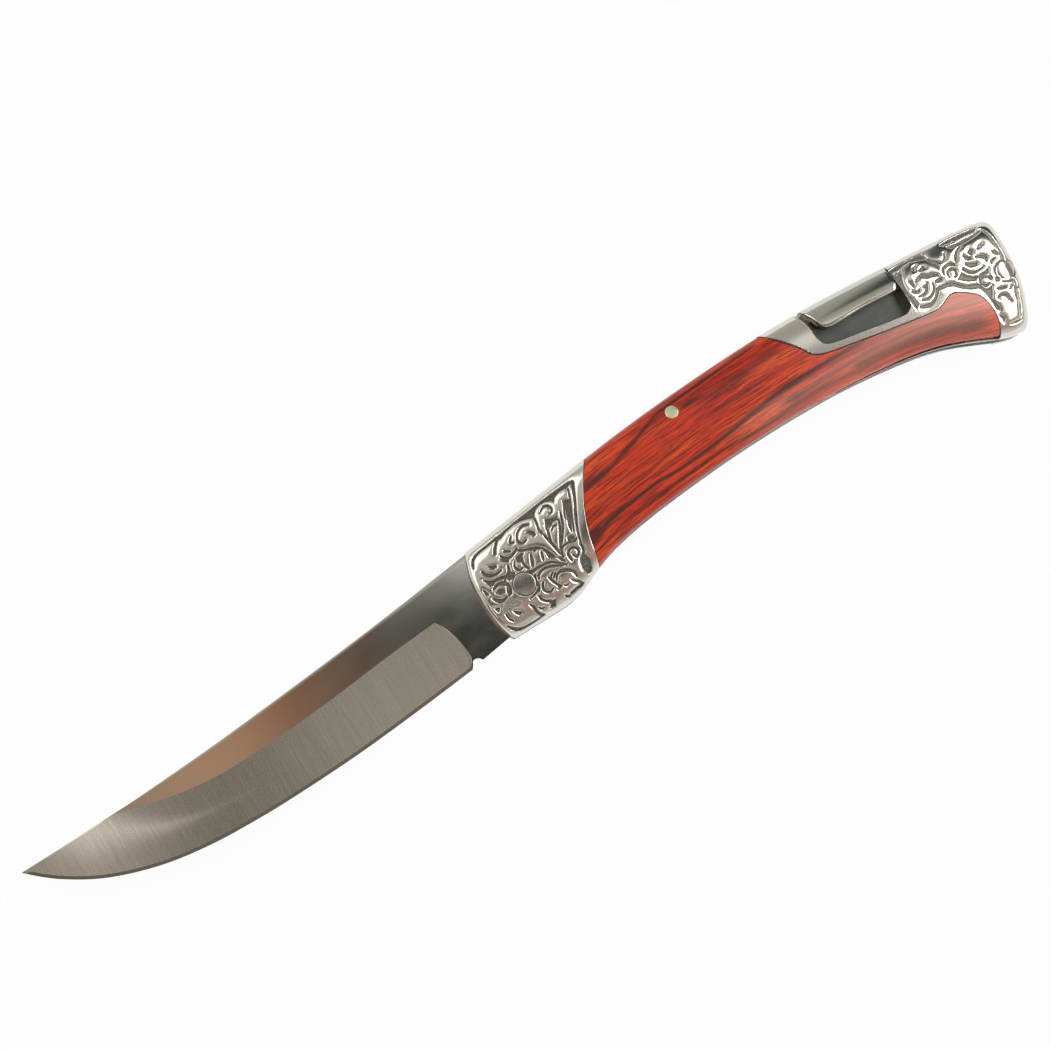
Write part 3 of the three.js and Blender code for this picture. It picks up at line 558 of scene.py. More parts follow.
frontGrounds = [
    [(0, 10.3), (1, 10.3), (2.5, 10.95), (4.5, 11.35), (6, 11.25), (7.5, 10.85), (8.75, 10.3),
     (9.2, 11.1), (10, 11.75), (11, 12.05), (12.2, 12.05), (13.2, 11.55), (13.75, 11.1), (14.2, 11.7),
     (15.4, 12.2), (16.5, 12.3), (17.3, 12.1), (18.6, 12.6), (18.5, 13.1), (14, 12.8), (10, 12.4),
     (5, 11.75), (2, 11.25), (0, 10.9)],
    [(15.2, 10.4), (16.4, 10.1), (16.5, 9.6), (15.6, 7.8), (14.4, 5.4), (13.5, 3.9), (13.7, 5.6),
     (14.7, 8.4)],
    [(10.25, 9.1), (11.5, 8.55), (12.9, 8.5), (12.6, 7.7), (11.5, 7.75), (10.2, 7), (9.95, 8)],
    [(5.8, 8.85), (6.6, 8.75), (7.3, 8.05), (7.25, 7.35), (6.6, 7.2), (6.45, 8)],
    [(2.3, 6.9), (3.6, 6.15), (5, 5.75), (6.1, 5.3), (7.1, 4.4), (7.8, 3), (8.3, 1.6), (7.6, 1.9),
     (7, 2.5), (7.05, 3.5), (6.7, 4.3), (5.9, 4.75), (5.3, 4.5), (5, 5.1), (4.2, 5.6), (3.3, 5.8),
     (2.7, 6.2)],
    [(1.3, 5.4), (2.6, 5.75), (3.3, 5.55), (2.6, 5), (2.35, 4.2), (1.6, 4.2), (1.2, 4.7)],
    [(11.9, 2.7), (12.3, 3.7), (13.1, 3.8), (13.6, 3), (13.2, 2.6), (12.5, 2.8)],
    [(12.3, -1.2), (13.6, -1), (13.9, -2), (13.4, -4), (12.8, -4.6), (12, -4.6), (11.75, -3.2),
     (11.9, -2)],
    [(2.6, -5.2), (3.4, -5.5), (4, -5.4), (3.6, -6.2), (3.3, -6.7), (2.2, -6.6), (2.6, -6)],
    [(-4.2, 7), (-3.3, 6.5), (-2.6, 6.2), (-2.7, 5.8), (-3.4, 5.8), (-4, 6.2)],
    [(-6.4, 5.2), (-5.9, 4.6), (-5, 4.05), (-4.2, 3.85), (-4.6, 3.4), (-5.3, 3), (-5.85, 3.4),
     (-6.15, 4.1)],
    [(-5.6, 1.6), (-4.8, 1.9), (-4, 1.7), (-3.65, 1.2), (-4, .65), (-4.8, .8)],
    [(-2.3, 3.3), (-1, 3.7), (-.2, 3), (-.6, 2.6), (-1.3, 2.3), (-2.1, 2.2)],
    [(-7.4, -.95), (-6.3, -1.3), (-7.05, -2.1)],
    [(-4.5, -3.2), (-3.9, -3.6), (-3.15, -4.1), (-3.15, -4.6), (-3.8, -4.6), (-4.35, -3.9)],
    [(8.4, 1.4), (9.3, 1), (9.6, -.3), (8.9, .2)],
    [(7.1, 3.3), (7.9, 2.6), (8.3, 1.4), (7.4, 1.7), (7, 2.2)],
]

# leaves that are left smooth but lie a little lower, with painted shade on them
frontShadedHollows = [
    [(-5.6, -.9), (-4.3, -.4), (-3.3, -.5), (-2.9, -1.6), (-2, -2.6), (-2.6, -3), (-3.8, -2.7),
     (-5, -2.6), (-6.3, -2.6), (-6.5, -1.7)],
    [(-4.9, -6.9), (-3.2, -6.9), (-1.3, -6.5), (-1.6, -6.1), (-3.2, -6.3), (-4.6, -6.2), (-5.6, -5.6)],
    [(11.9, 6), (12.7, 7.6), (13.6, 9.7), (14.1, 9.6), (13.6, 7.5), (12.7, 5.4), (12, 4.6)],
]

rearCuts = [
    [(96.9, 14.75, .2), (97.7, 14.6, .25), (98.3, 14.9, .1)],
    [(104, 14, .2), (104.5, 12.7, .3), (105.1, 11.4, .3)],
    [(111.4, 12.9, .1), (110.2, 12.4, .3), (109.4, 11.6, .4), (108.8, 10.8, .2)],
    [(97.8, 9.95, .2), (98.3, 9.5, .4), (99, 9.4, .4), (99.5, 9.7, .1)],
    [(98.5, 8.4, .15), (99.5, 8.3, .4), (100.5, 8.7, .45), (101.1, 9.6, .3)],
    [(98.6, 7.45, .15), (99.7, 7.15, .35), (101, 7.4, .35), (102, 8.2, .35), (102.35, 9.3, .2)],
    [(97.6, 6.4, .3), (98.8, 5.95, .65), (100.2, 5.95, .5), (101.5, 6.6, .5), (102.5, 7.7, .55),
     (103.4, 7.7, .6), (104.6, 7.5, .6), (105.8, 6.9, .6), (106.7, 5.9, .55), (107.6, 5.1, .6),
     (108.8, 4.5, .8), (109.8, 4.1, .75), (110.3, 3.2, .5), (110.6, 2, .35), (110.8, .2, .35),
     (110.95, -1.7, .5), (111, -2.2, .1)],
    [(100.5, 13.5, .12), (100.8, 14, .2), (101.4, 14.15, .12)],
    [(101.7, 13, .15), (102.2, 13.1, .3), (102.7, 12.9, .12)],
    [(99.8, 11.6, .2), (101, 11.85, .45), (102, 11.2, .5), (103, 10.9, .45), (104.1, 10.1, .3)],
    [(105.9, 8.7, .15), (106.1, 9.6, .35), (107, 9.9, .35), (107.6, 9.2, .35), (107.4, 8.3, .35),
     (106.8, 8.1, .15)],
    [(105.3, 9.7, .15), (105.6, 10.55, .4), (106.4, 10.95, .4), (107.4, 10.8, .4), (108.2, 10.2, .25)],
    [(111, 5.5, .4), (111.9, 5.75, .45), (113, 5.5, .3)],
    [(110.1, 9.2, .2), (110.8, 8.5, .6), (112, 8.1, .4)],
    [(109, 8.6, .15), (109.7, 7.4, .3), (111, 6.8, .3), (112.7, 6.8, .15)],
    [(110.7, 10.9, .15), (111, 10.1, .45), (111.7, 9.7, .25)],
    [(112.8, 9.4, .2), (113.7, 8.9, .5), (114.3, 8.1, .6), (114, 7.6, .1)],
    [(114.1, 10.8, .1), (114.8, 11.1, .2), (115.2, 11.1, .1)],
    [(114.6, 6.6, .1), (115.1, 7.1, .35), (116, 7.2, .15)],
    [(117, 13.5, .15), (117.5, 12, .25), (117.65, 9.5, .25), (117.55, 7, .25), (117.2, 6, .35)],
    [(114.2, 4.3, .2), (114.6, 5.3, .35), (115.6, 5.95, .3), (117, 6, .3)],
    [(114.7, 2.3, .2), (115.8, 1.75, .3), (116.6, 1.6, .35), (116.9, .9, .3), (116.6, .2, .15)],
    [(113, 1.6, .3), (113.8, 1.3, .5), (114.7, 1, .25)],
    [(115.2, .3, .1), (115.9, .7, .22), (116.2, .6, .1)],
    [(112.1, -.05, .2), (112.9, .25, .4), (113.7, -.4, .3), (113.9, -1.3, .2), (114.2, -2.2, .2)],
    [(110.6, 4.1, .2), (110.9, 4.9, .4), (111.7, 5.1, .35), (112.5, 4.6, .35), (112.8, 3.9, .2)],
    [(110.75, 3.9, .15), (111.1, 3.45, .4), (111.8, 3.3, .2)],
    [(110.6, -3.2, .15), (110.9, -4, .45), (110.8, -4.8, .15)],
    [(111.8, -5.8, .12), (113, -6, .35), (114, -6.1, .15)],
    [(116.5, -.6, .2), (115.9, -2, .15), (115.1, -3.8, .15), (114.2, -5.6, .1)],
    [(103.1, 9.3, .4), (103.7, 9.2, .6), (104.3, 9.1, .3)],
    [(104, 15, .1), (104.3, 13.8, .15), (105.1, 12.8, .2), (106.2, 12.1, .2), (107.1, 12.3, .2),
     (107.7, 13.3, .12)],
]

rearGrounds = [
    [(96.15, 16), (98, 16.1), (100, 15.95), (102, 15.8), (103.6, 15.5), (104, 14.9), (103.8, 14.2),
     (103, 14.55), (101.9, 15.05), (100.6, 15.5), (99.5, 15.45), (98.5, 15.2), (97.5, 15.2),
     (96.8, 15.35), (96.55, 14.9), (96.9, 14.4), (98.1, 14.2), (97.6, 13.4), (97.2, 12.2), (97, 10.5),
     (97.1, 8.5), (97.1, 6.6), (96.7, 6.6), (96.5, 9), (96.3, 12), (96.1, 14)],
    [(108, 15.3), (110, 15.35), (112.5, 15.1), (115, 14.8), (116.3, 14.5), (116, 14.2), (115.5, 14),
     (113, 14.2), (111, 14.3), (110.6, 14.75), (110, 14.55), (109, 14.8), (108.3, 14.8)],
    [(108.9, 14.1), (110.8, 13.8), (113, 13.75), (115, 13.5), (116.2, 13.8), (117, 13.7), (116.2, 13.3),
     (114, 13.05), (112, 13), (110.5, 13.2), (109.3, 13.5)],
    [(98.3, 12.2), (99.1, 11.6), (99, 10.8), (98.6, 10.6), (98.4, 11.4)],
    [(100.1, 9.8), (101.1, 9.9), (100.9, 9.4), (100.3, 9.2)],
    [(107.1, 7.3), (108.3, 8), (109, 7.05), (109.8, 6.2), (111, 5.8), (110, 5.3), (108.6, 6),
     (107.8, 6.7)],
    [(112.6, 5.95), (113.6, 6.1), (113, 5.2)],
    [(111.9, 11), (112.5, 11.4), (113, 10.8), (112.5, 10.3), (112, 10.4)],
    [(116.1, 8.85), (116.7, 8.7), (117.1, 7.8), (116.7, 7.5), (116.1, 8.1)],
    [(113.4, 3.1), (114, 3.95), (114.5, 3.2), (114.2, 2.8)],
    [(110.6, 2.7), (111.5, 2.5), (112.3, 2.7), (111.8, 1.6), (111.2, .7), (110.9, .3)],
]


farAway = 9.0      # further than any distance in mm that the ornament or the blade's sweep asks for


def fromStretch(x, y, a, b):
    # distance to the straight stretch between two points, and the nearest place's share of it
    dx, dy = b[0] - a[0], b[1] - a[1]
    t = np.clip(((x - a[0]) * dx + (y - a[1]) * dy) / (dx * dx + dy * dy + 1e-12), 0, 1)
    return np.hypot(x - a[0] - t * dx, y - a[1] - t * dy), t


def cutDistance(x, y, cuts, wider):
    # from each place to the nearest cut's wall, negative inside a cut
    nearest = np.full(x.shape, farAway)
    margin = 1.5
    for cut in cuts:
        line = splineThrough(cut, 6)
        low, high = line[:, :2].min(axis=0) - margin, line[:, :2].max(axis=0) + margin
        near = (x > low[0]) & (x < high[0]) & (y > low[1]) & (y < high[1])
        best = nearest[near]
        for a, b in zip(line[:-1], line[1:]):
            away, t = fromStretch(x[near], y[near], a, b)
            best = np.minimum(best, away - (a[2] + t * (b[2] - a[2]) + wider) / 2)
        nearest[near] = best
    return nearest


def groundDistance(x, y, outline):
    # from each place to an area's outline, negative inside it
    best, inside = np.full(x.shape, farAway), np.zeros(x.shape, bool)
    for a, b in zip(outline, outline[1:] + outline[:1]):
        best = np.minimum(best, fromStretch(x, y, a, b)[0])
        rise = (b[1] - a[1]) or 1e-9
        inside ^= ((a[1] > y) != (b[1] > y)) & (x < a[0] + (y - a[1]) * (b[0] - a[0]) / rise)
    return np.where(inside, -best, best)


def relief(end, x, y, cuts, grounds, hollows=()):
    # how deep the ornament is sunk at each place, and how dark it is there
    (shiftX, shiftY), wider, dark = drawnAs[end]
    drawn = x + shiftX, y + shiftY
    away = cutDistance(*drawn, cuts, wider)
    for outline in grounds:
        away = np.minimum(away, groundDistance(*drawn, outline))
    sunk = chasing["depth"] * (1 - smoothStep(away, -chasing["wall"], chasing["wall"]))
    pillow = chasing["pillow"] * np.exp(-np.maximum(away, 0) / chasing["pillowReach"])
    oxideAndPaintedShade = dark * (1 - smoothStep(away, *chasing["darkEdge"]))
    # the lower leaves are sunk a little and given painted shade
    for outline in hollows:
        inside = 1 - smoothStep(groundDistance(*drawn, outline), *chasing["hollowEdge"])
        sunk = np.maximum(sunk, chasing["hollow"][0] * inside)
        oxideAndPaintedShade = np.maximum(oxideAndPaintedShade, chasing["hollow"][1] * inside)
    left = chasing["buttLeft"]
    return (sunk + pillow) * (left + (1 - left) * smoothStep(fromButt(x, y), *chasing["buttFade"])), oxideAndPaintedShade


# The three pins that show on the outside: place, radius, head radius and where the head starts
pins = {
    "pivotPin": {"at": (0, 0), "radius": 2.3, "dome": 0.05},
    "lockBarPin": {"at": (43, 14.1), "radius": 1.35, "dome": 0.04},
    "buttPin": {"at": (115.9, 3.9), "radius": 1.15, "head": 1.9, "headFrom": 4.8, "dome": 0.05},
}
# round each head, in mm from its rim: the seat under it, the groove beside it and the dirt in that
pinSeats = {"drop": 0.5, "under": (-0.3, -0.08), "groove": (0.06, 0.26), "dirt": (0.12, 0.3)}


def fromHead(x, y, name):
    pin = pins[name]
    return np.hypot(x - pin["at"][0], y - pin["at"][1]) - pin.get("head", pin["radius"])


def pinSeat(x, y, name, groove):
    # the handle's surface drops away under a pin's head and a hair's breadth round it
    away = fromHead(x, y, name)
    seat = pinSeats["drop"] * (1 - smoothStep(away, *pinSeats["under"]))
    return seat + groove * (1 - smoothStep(away, *pinSeats["groove"]))


# Blunted steel edge towards the wood: rows in mm from it, how far the first lie below the crown,
# and how dark the seam is. The outer edges have rows of their own.
seam = {"rows": [0, 0.04, 0.1, 0.2], "drop": [0.09, 0.03, 0.008], "dark": 0.85, "darkRows": 2}
borderRows = [0, 0.012, 0.05, 0.12, 0.22, 0.36]

# Front bolsters
frontBolster = {"columns": 236, "rows": 196, "span": (25.5, 20.0), "groove": 0.22}


def frontBolsterMesh():
    left, right = acrossHandle(handle["lip"]), acrossHandle(handle["frontEnd"])
    lower = stretchOf(bellyLine, left[0, 0], right[0, 0])
    upper = stretchOf(backLine, left[-1, 0], right[-1, 0])
    u = edgeShares(frontBolster["columns"], frontBolster["span"][0], borderRows, seam["rows"])
    v = edgeShares(frontBolster["rows"], frontBolster["span"][1], borderRows, borderRows)
    xy = coonsPatch(alongLine(lower, u), alongLine(upper, u), alongLine(left, v), alongLine(right, v), u, v)
    x, y = xy[..., 0], xy[..., 1]
    sunk, oxideAndPaintedShade = relief("front", x, y, frontCuts, frontGrounds, frontShadedHollows)
    z = crownHeight(x, y) - np.maximum(sunk, pinSeat(x, y, "pivotPin", frontBolster["groove"]))
    for k, drop in enumerate(seam["drop"]):
        z[-1 - k] -= drop
    # old polish and oxide in the ring round the pin, and a dark hairline where the wood begins
    dirt = 1 - smoothStep(fromHead(x, y, "pivotPin"), *pinSeats["dirt"])
    oxideAndPaintedShade = np.maximum(oxideAndPaintedShade, dirt)
    oxideAndPaintedShade[-seam["darkRows"]:] = np.maximum(oxideAndPaintedShade[-seam["darkRows"]:], seam["dark"])
    return shellMesh(x, y, z, {"oxideAndPaintedShade": oxideAndPaintedShade})


addPair("frontBolster", frontBolsterMesh(), [bolsterSteel], "front_bolster")
print("front bolsters made")

# Rear bolsters: the arm under the button's window, the engraved block, and the window's floor
rearBolster = {
    "columns": (150, 34, 32), "rows": 176, "depth": 15.0, "groove": 0.14,
    "topKeys": (111.0, 114.2), "bottomKey": (109.3, -0.6),      # where the counts of columns change
    "armColumns": (18, 26, 8, 60), "armRows": 26, "armDepth": 3.5,
    "armKeys": [(69.6, 14.4), (73.4, 9.8), (76.0, 8.3)],
    "armEdge": [0, 0.03, 0.1, 0.2], "armBlunt": 0.6,            # share of the seam's drop at the window
    # the arm's edge at the button's window is given painted shade
    "armSeamDark": 0.9, "windowDark": 0.55, "armDarkRows": 3,
    "floorTop": 13.9, "floorEndTop": 12.0,
}


def rearEdge():
    # the seam between wood and steel in two stretches, and the place under the window's end between them
    end = acrossHandle(handle["rearEnd"], handle["seamSteps"])      # from the back down to the belly
    cornerX, far = handle["windowEnd"], int(np.argmax(end[:, 0]))
    startY = float(np.interp(cornerX, end[:far, 0], end[:far, 1]))
    split = int(np.argmax(end[:, 0] > cornerX))
    return end[:split], [cornerX, startY], end[split:]


def windowEdge(topAt):
    # the window's outline below its top: down the front, along the floor and round the far corner
    line = splineThrough(handle["windowFront"] + handle["windowFloor"])
    line = line[line[:, 1] < topAt(line[:, 0])]
    return np.vstack([line, [handle["windowEnd"], line[-1, 1] + handle["windowCorner"]]])


def piecewise(line, keys, counts):
    # points along a line, with so many between each two of its key places
    spots = [int(np.argmin(np.hypot(*(line[:, :2] - np.array(key)).T))) for key in keys]
    spots = [0, *spots, len(line) - 1]
    parts = [alongLine(line[a:b + 1], np.linspace(0, 1, n + 1)[:-1])
             for a, b, n in zip(spots[:-1], spots[1:], counts)]
    return np.vstack([*parts, line[-1:]])


def rearBlockMesh():
    size, (cornerX, startY), boundary = rearBolster, *rearEdge()[1:]
    butt = acrossHandle(handle["butt"])
    along = stretchOf(bellyLine, boundary[-1, 0], butt[0, 0])
    lower = np.vstack([[cornerX, startY], boundary, along[1:]])
    lowerPoints = piecewise(lower, [size["bottomKey"], boundary[-1]], size["columns"])
    keysX = [cornerX, *size["topKeys"], butt[-1, 0]]
    tops = [np.linspace(a, b, n + 1)[:-1] for a, b, n in zip(keysX[:-1], keysX[1:], size["columns"])]
    topX = np.concatenate([*tops, keysX[-1:]])
    upperPoints = np.stack([topX, backAt(topX)], axis=-1)
    v = edgeShares(size["rows"], size["depth"], seam["rows"], borderRows)
    u = (topX - topX[0]) / (topX[-1] - topX[0])
    left = np.stack([np.full(len(v), cornerX), startY + v * (backAt(cornerX) - startY)], axis=-1)
    xy = coonsPatch(lowerPoints, upperPoints, left, alongLine(butt, v), u, v)
    x, y = xy[..., 0], xy[..., 1]
    sunk, oxideAndPaintedShade = relief("rear", x, y, rearCuts, rearGrounds)
    z = crownHeight(x, y) - np.maximum(sunk, pinSeat(x, y, "buttPin", size["groove"]))
    touchesWood = np.arange(len(u)) <= size["columns"][0] + size["columns"][1]
    for k, drop in enumerate(seam["drop"]):
        z[touchesWood, k] -= drop
    oxideAndPaintedShade[touchesWood, :seam["darkRows"]] = seam["dark"]
    return shellMesh(x, y, z, {"oxideAndPaintedShade": oxideAndPaintedShade})


def rearArmMesh():
    size, (before, meeting, _) = rearBolster, rearEdge()
    lower = np.vstack([before, meeting])
    window = windowEdge(backAt)
    upper = np.vstack([stretchOf(backLine, lower[0, 0], window[0, 0]), window])
    lowerPoints = piecewise(lower, size["armKeys"], size["armColumns"])
    upperPoints = piecewise(upper, [window[0], handle["windowFront"][-1], handle["windowFloor"][0]],
                            size["armColumns"])
    v = edgeShares(size["armRows"], size["armDepth"], seam["rows"], size["armEdge"])[None, :, None]
    xy = (1 - v) * lowerPoints[:, None] + v * upperPoints[:, None]
    x, y = xy[..., 0], xy[..., 1]
    z = crownHeight(x, y)
    onWindow = np.arange(len(upperPoints)) > size["armColumns"][0]
    for k, drop in enumerate(seam["drop"]):
        z[:, k] -= drop
        z[onWindow, -1 - k] -= drop * size["armBlunt"]
    oxideAndPaintedShade = np.zeros(x.shape)
    oxideAndPaintedShade[:, :size["armDarkRows"]] = size["armSeamDark"]
    # painted shade along the arm's edge where it turns down into the button's window
    oxideAndPaintedShade[onWindow, -size["armDarkRows"]:] = size["windowDark"]
    return shellMesh(x, y, z, {"oxideAndPaintedShade": oxideAndPaintedShade}, closed=True)


def recessFloorMesh():
    outline = [*windowEdge(lambda x: rearBolster["floorTop"]),
               (handle["windowEnd"], rearBolster["floorEndTop"])]
    bm = bmesh.new()
    floor = bm.faces.new([bm.verts.new(place(x, y, handle["linerOut"])) for x, y in outline])
    up = bmesh.ops.extrude_face_region(bm, geom=[floor])["geom"]
    thick = (handle["recessFloor"] - handle["linerOut"]) / 1000
    bmesh.ops.translate(bm, vec=(0, 0, thick), verts=[v for v in up if isinstance(v, bmesh.types.BMVert)])
    for edge in bm.edges:
        edge.smooth = False
    return bm


bm = rearBlockMesh()
appendMesh(bm, rearArmMesh())
appendMesh(bm, recessFloorMesh(), 1)
addPair("rearBolster", bm, [bolsterSteel, blackFloor], "rear_bolster")
print("rear bolsters made")

# Wooden scales
scale = {
    "columns": 400, "rows": 84, "span": (92.0, 17.0), "endRows": [0, 0.05, 0.15],
    "borderRows": [0, 0.015, 0.06, 0.14, 0.26, 0.42, 0.62, 0.85],
    "inset": 0.15, "gap": 0.1, "groove": 0.06,
    "seamTip": 108.3,                # the seam turns back here, down to the belly
    # towards the butt the wood ends above the belly's line: by how much, from which x, and between
    # which heights its surface comes back to the crown
    "rearStep": 0.35, "stepFrom": 84, "stepFades": (8, -2),
    # the last rows of wood beside the steel arm are dark
    "seamFrom": 68, "seamRows": 4, "seamDark": 1.6,
    # how many mm a streak takes to begin and end, how dark it begins, and how wide it is drawn
    "streakStart": 3, "startDark": 0.25, "streakEnd": 4, "streakSpread": 0.62,
    # painted sheen on the wood: how much, and between which x and which heights over the middle line it sets
    # in
    "paleButt": (0.62, (66, 109), (-8.2, -3)), "sheenLeast": 0.34,
    "sheenBelow": (0.22, (46, 64), (98, 74), (-2.5, -5)),
}
# dark streaks in the wood: points of (x, height over the handle's middle line, width), and darkness
dyeStreaks = [
    ([(18, 4.4, 1), (21, 4, 1.7), (26.5, 3.9, 1.3), (32.8, 5.1, 1), (37.3, 6.2, 1), (41, 7, .8),
      (51.5, 7.1, .6), (60, 7.4, .6), (66, 7.6, .4)], .75),
    ([(22, 7.6, .3), (28, 7.5, .4), (34, 7.1, .35), (39, 7.6, .3)], .6),
    ([(43.5, 5.3, .5), (47, 4.9, 1.4), (51.5, 3.9, 2), (56, 3.7, 2.2), (61, 3.9, 1.9), (66, 4.2, 1.8),
      (71, 3.9, 1.2)], .58),
    ([(14.5, -4.9, 1.2), (17.5, -4.5, 1.7), (22.3, -4.1, 1.3), (26.5, -4.1, .9), (32.8, -4.2, .8),
      (39, -4.8, .8), (45.3, -4.8, .8), (50.7, -4.5, .9), (55.7, -4, 1), (64, -3.1, 1.2), (72, -3, 1.1),
      (80, -2.6, .9), (90, -2.1, .7)], .85),
    ([(14, -4.4, 2.2), (16.5, -4.4, 2.6), (19, -4.2, 2), (22, -4, 1)], 1),
    ([(14.8, -7, .6), (19, -6.7, .6), (24.4, -6.3, .7), (30.7, -6.6, .6), (39, -6.6, .7),
      (47.3, -6.6, .8), (55.7, -7.2, .9), (64, -7.1, 1), (72, -6.9, 1.1), (80, -7.3, .9), (90, -7, .8),
      (98, -6.4, .6)], .7),
    ([(62, -5.6, .8), (70, -5.5, 1.2), (78, -5.2, 1.1), (86, -4.9, 1), (95, -5, .8),
      (104, -5.2, .7)], .7),
    ([(86, -2.9, 1), (92, -3, 1.1), (98, -3.4, .9), (104, -3.6, .9), (109, -4, .8)], .72),
    ([(20, .8, .5), (30, .2, .5), (42, -.6, .4)], .3),
    ([(13, -.6, 3), (19, -1, 3.2), (26, -1.5, 2.6), (33, -1.8, 1.6), (41, -2.2, 1)], .38),
    ([(48, .9, .6), (58, .6, .8), (68, .9, .8), (76, .6, .5)], .45),
    ([(50, -1.6, .4), (60, -1.2, .6), (70, -.9, .6)], .35),
    ([(78, -6.3, 2.2), (88, -6.6, 2.6), (98, -6.9, 2.9), (104, -7.7, 3), (110, -8, 2.6)], .85),
    ([(76, -1.2, .5), (84, -1.3, .6), (91, -1.2, .5)], .5),
    ([(72, -4.1, .7), (80, -3.7, .9), (90, -3.9, .8), (98, -4.6, .6)], .5),
    ([(92, -4.6, .6), (98, -5, .8), (104, -5.5, .9), (110, -6, .8)], .75),
]


def dyeAt(x, beside):
    # how dark the wood's streaks are at each place
    darkness = np.zeros(x.shape)
    for line, strength in dyeStreaks:
        points = splineThrough(line, 5)
        level, width = (np.interp(x, points[:, 0], points[:, k]) for k in (1, 2))
        begin = (x - points[0, 0]) / scale["streakStart"] + scale["startDark"]
        ends = np.clip(np.minimum(begin, (points[-1, 0] - x) / scale["streakEnd"]), 0, 1)
        ends = np.where(x < points[0, 0], 0, ends)
        reach = (beside - level) / (scale["streakSpread"] * width)
        darkness = np.maximum(darkness, strength * ends * np.exp(-reach ** 2))
    return darkness


def paintedSheenAt(x, beside):
    # how much painted sheen the wood gets towards the butt, and in one stretch below its middle
    most, alongX, aboveBelly = scale["paleButt"]
    least = scale["sheenLeast"]
    towardsButt = most * smoothStep(x, *alongX) * (least + (1 - least) * smoothStep(beside, *aboveBelly))
    most, begins, ends, below = scale["sheenBelow"]
    return towardsButt + most * smoothStep(x, *begins) * smoothStep(x, *ends) * smoothStep(beside, *below)


def scaleMesh():
    inset, gap = scale["inset"], scale["gap"]
    left = acrossHandle([(x + gap, y) for x, y in handle["frontEnd"]], inset=inset)
    end = acrossHandle(handle["rearEnd"], handle["seamSteps"], inset)
    far = int(np.argmax(end[:, 0] >= scale["seamTip"]))
    heading = np.gradient(end, axis=0)
    heading /= np.hypot(heading[:, 0], heading[:, 1])[:, None] + 1e-12
    end = end + gap * np.stack([heading[:, 1], -heading[:, 0]], axis=-1)   # clear of the steel
    right = end[far:][::-1]                                              # from the belly up
    top = stretchOf(backLine, left[-1, 0], end[0, 0])
    top[:, 1] -= inset
    upper = np.vstack([top[:-1], end[:far + 1]])
    lower = stretchOf(bellyLine, left[0, 0], right[0, 0])
    stepAt = lambda x: scale["rearStep"] * smoothStep(x, scale["stepFrom"], right[0, 0])
    lower[:, 1] += inset + stepAt(lower[:, 0])
    right[0] = lower[-1]
    u = edgeShares(scale["columns"], scale["span"][0], scale["endRows"], scale["endRows"])
    v = edgeShares(scale["rows"], scale["span"][1], scale["borderRows"], scale["borderRows"])
    # the upper line is matched to the lower one by its x, so that the rows cross the handle squarely
    topX = left[-1, 0] + (upper[-1, 0] - left[-1, 0]) * u
    order = np.maximum.accumulate(upper[:, 0]) + np.arange(len(upper)) * 1e-9
    upperPoints = np.stack([topX, np.interp(topX, order, upper[:, 1])], axis=-1)
    xy = coonsPatch(alongLine(lower, u), upperPoints, alongLine(left, v), alongLine(right, v), u, v)
    x, y = xy[..., 0], xy[..., 1]
    stepped = stepAt(x) * smoothStep(y, *scale["stepFades"])
    z = crownHeight(x, y - stepped, inset) - pinSeat(x, y, "lockBarPin", scale["groove"])
    beside = y - (bellyAt(x) + backAt(x)) / 2
    # dye streaks, and a painted sheen, are laid on as attributes
    dye, pale = dyeAt(x, beside), paintedSheenAt(x, beside)
    atSteel = x[:, -1] > scale["seamFrom"]
    dye[atSteel, -scale["seamRows"]:], pale[atSteel, -scale["seamRows"]:] = scale["seamDark"], 0
    bm = shellMesh(x, y, z, {"dye": dye, "pale": pale})
    # the grain follows the handle's middle line
    grain = bm.verts.layers.float_vector.new("grain")
    for vert in bm.verts:
        px, py, pz = (vert.co - pivotPlace) * 1000
        vert[grain] = (px / 1000, (py - float((bellyAt(px) + backAt(px)) / 2)) / 1000, pz / 1000)
    return bm


addPair("scale", scaleMesh(), [redWood], "scale")
print("scales made")

